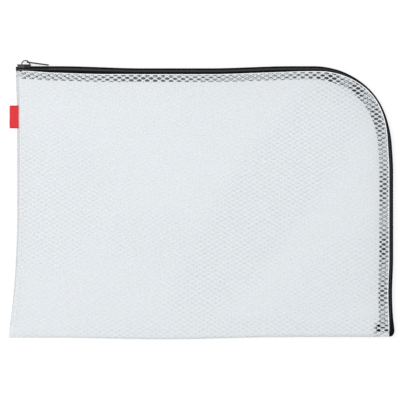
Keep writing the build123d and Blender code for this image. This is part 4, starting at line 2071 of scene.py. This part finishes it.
@dataclass
class Studio:
    """Plain white surface, soft light and a camera straight above the wallet, all in metres."""

    floor_span: float = 8.0
    floor_level: float = -0.0003
    floor_colour: Colour = (0.9, 0.9, 0.9, 1.0)
    floor_shade: Colour = (0.22, 0.22, 0.22, 1.0)
    floor_white: float = 0.8
    sky: float = 0.68
    sky_colour: Colour = (0.97, 0.985, 1.0, 1.0)
    lamps: tuple[Lamp, ...] = (
        Lamp("key", (-0.8, 0.6, 1.85), 1.5, 22.9),
        Lamp("fill", (1.0, -0.7, 1.6), 1.2, 2.0),
    )
    view_width: float = 0.35765
    view_centre: Point = (-0.00445, 0.0015)
    distance: float = 2.4
    sight: float = 20.0
    sensor: float = 36.0

    def build_floor(self) -> None:
        """Build the surface that the wallet lies on, white to the eye and still shaded by the wallet."""
        mesh = bpy.data.meshes.new("table_top")
        half = self.floor_span / 2.0
        corners = [(-half, -half), (half, -half), (half, half), (-half, half)]
        mesh.from_pydata([(x, y, self.floor_level) for x, y in corners], [], [(0, 1, 2, 3)])
        floor = bpy.data.objects.new("table_top", mesh)
        bpy.context.scene.collection.objects.link(floor)
        sketch = NodeSketch.named("white_table")
        shaded = sketch.node("ShaderNodeBsdfDiffuse", {"Color": self.floor_shade})
        shine = sketch.node("ShaderNodeEmission", {"Color": WHITE, "Strength": self.floor_white})
        shown = sketch.node("ShaderNodeAddShader", {0: shaded.outputs[0], 1: shine.outputs[0]})
        plain = sketch.node("ShaderNodeBsdfDiffuse", {"Color": self.floor_colour})
        mesh.materials.append(sketch.finish(sketch.mix(sketch.seen(), plain, shown)))

    def build_sky(self) -> None:
        """Build a soft sky that lights the wallet and is white to the eye."""
        world = bpy.data.worlds.new("studio")
        bpy.context.scene.world = world
        sketch = NodeSketch(world)
        soft = sketch.node("ShaderNodeBackground", {"Color": self.sky_colour, "Strength": self.sky})
        white = sketch.node("ShaderNodeBackground", {"Color": WHITE, "Strength": 1.0})
        sketch.finish(sketch.mix(sketch.seen(), soft, white), "ShaderNodeOutputWorld")

    def build_camera(self) -> None:
        """Set a long-lens camera straight above the wallet."""
        camera = bpy.data.cameras.new("camera")
        camera.sensor_width = self.sensor
        camera.lens = self.sensor * self.distance / self.view_width
        camera.clip_end = self.sight
        stand = bpy.data.objects.new("camera", camera)
        stand.location = (*self.view_centre, self.distance)
        bpy.context.scene.collection.objects.link(stand)
        bpy.context.scene.camera = stand
        bpy.context.scene.view_settings.view_transform = "Standard"

    def build(self) -> None:
        """Build the surface, the light and the camera."""
        self.build_floor()
        self.build_sky()
        for lamp in self.lamps:
            lamp.hang()
        self.build_camera()


def report(*pieces: bpy.types.Object) -> None:
    """Log each piece with its number of faces."""
    for piece in pieces:
        LOG.info("%s: %d faces", piece.name, len(piece.data.polygons))


def main() -> None:
    """Build and dress every sub-assembly in order."""
    logging.basicConfig(level=logging.INFO, format="%(name)s: %(message)s")
    plan, path, finishes = WalletPlan(), ZipPath(), Finishes.make()
    Studio().build()
    sheets = {
        Face.FRONT: NetSheet(plan, path, Face.FRONT, net_turn=0.8, net_shift=(-0.25, 0.7)),
        Face.BACK: NetSheet(plan, path, Face.BACK, net_turn=-1.9, net_shift=(2.6, 1.5)),
    }
    for face, sheet in sheets.items():
        report(sheet.build(finishes))
        report(*ZipEdge(plan, path, face).build(finishes))
        report(ZipTape(plan, path, face).build(finishes))
        report(ZipCoil(plan, path, face).build(finishes))
    report(*LeftSeam(plan, sheets).build(finishes))
    report(Label(plan, sheets[Face.FRONT]).build(finishes))
    report(EndTab(plan).build(finishes))
    report(*ZipMetal().build(finishes))


if __name__ == "__main__":
    main()
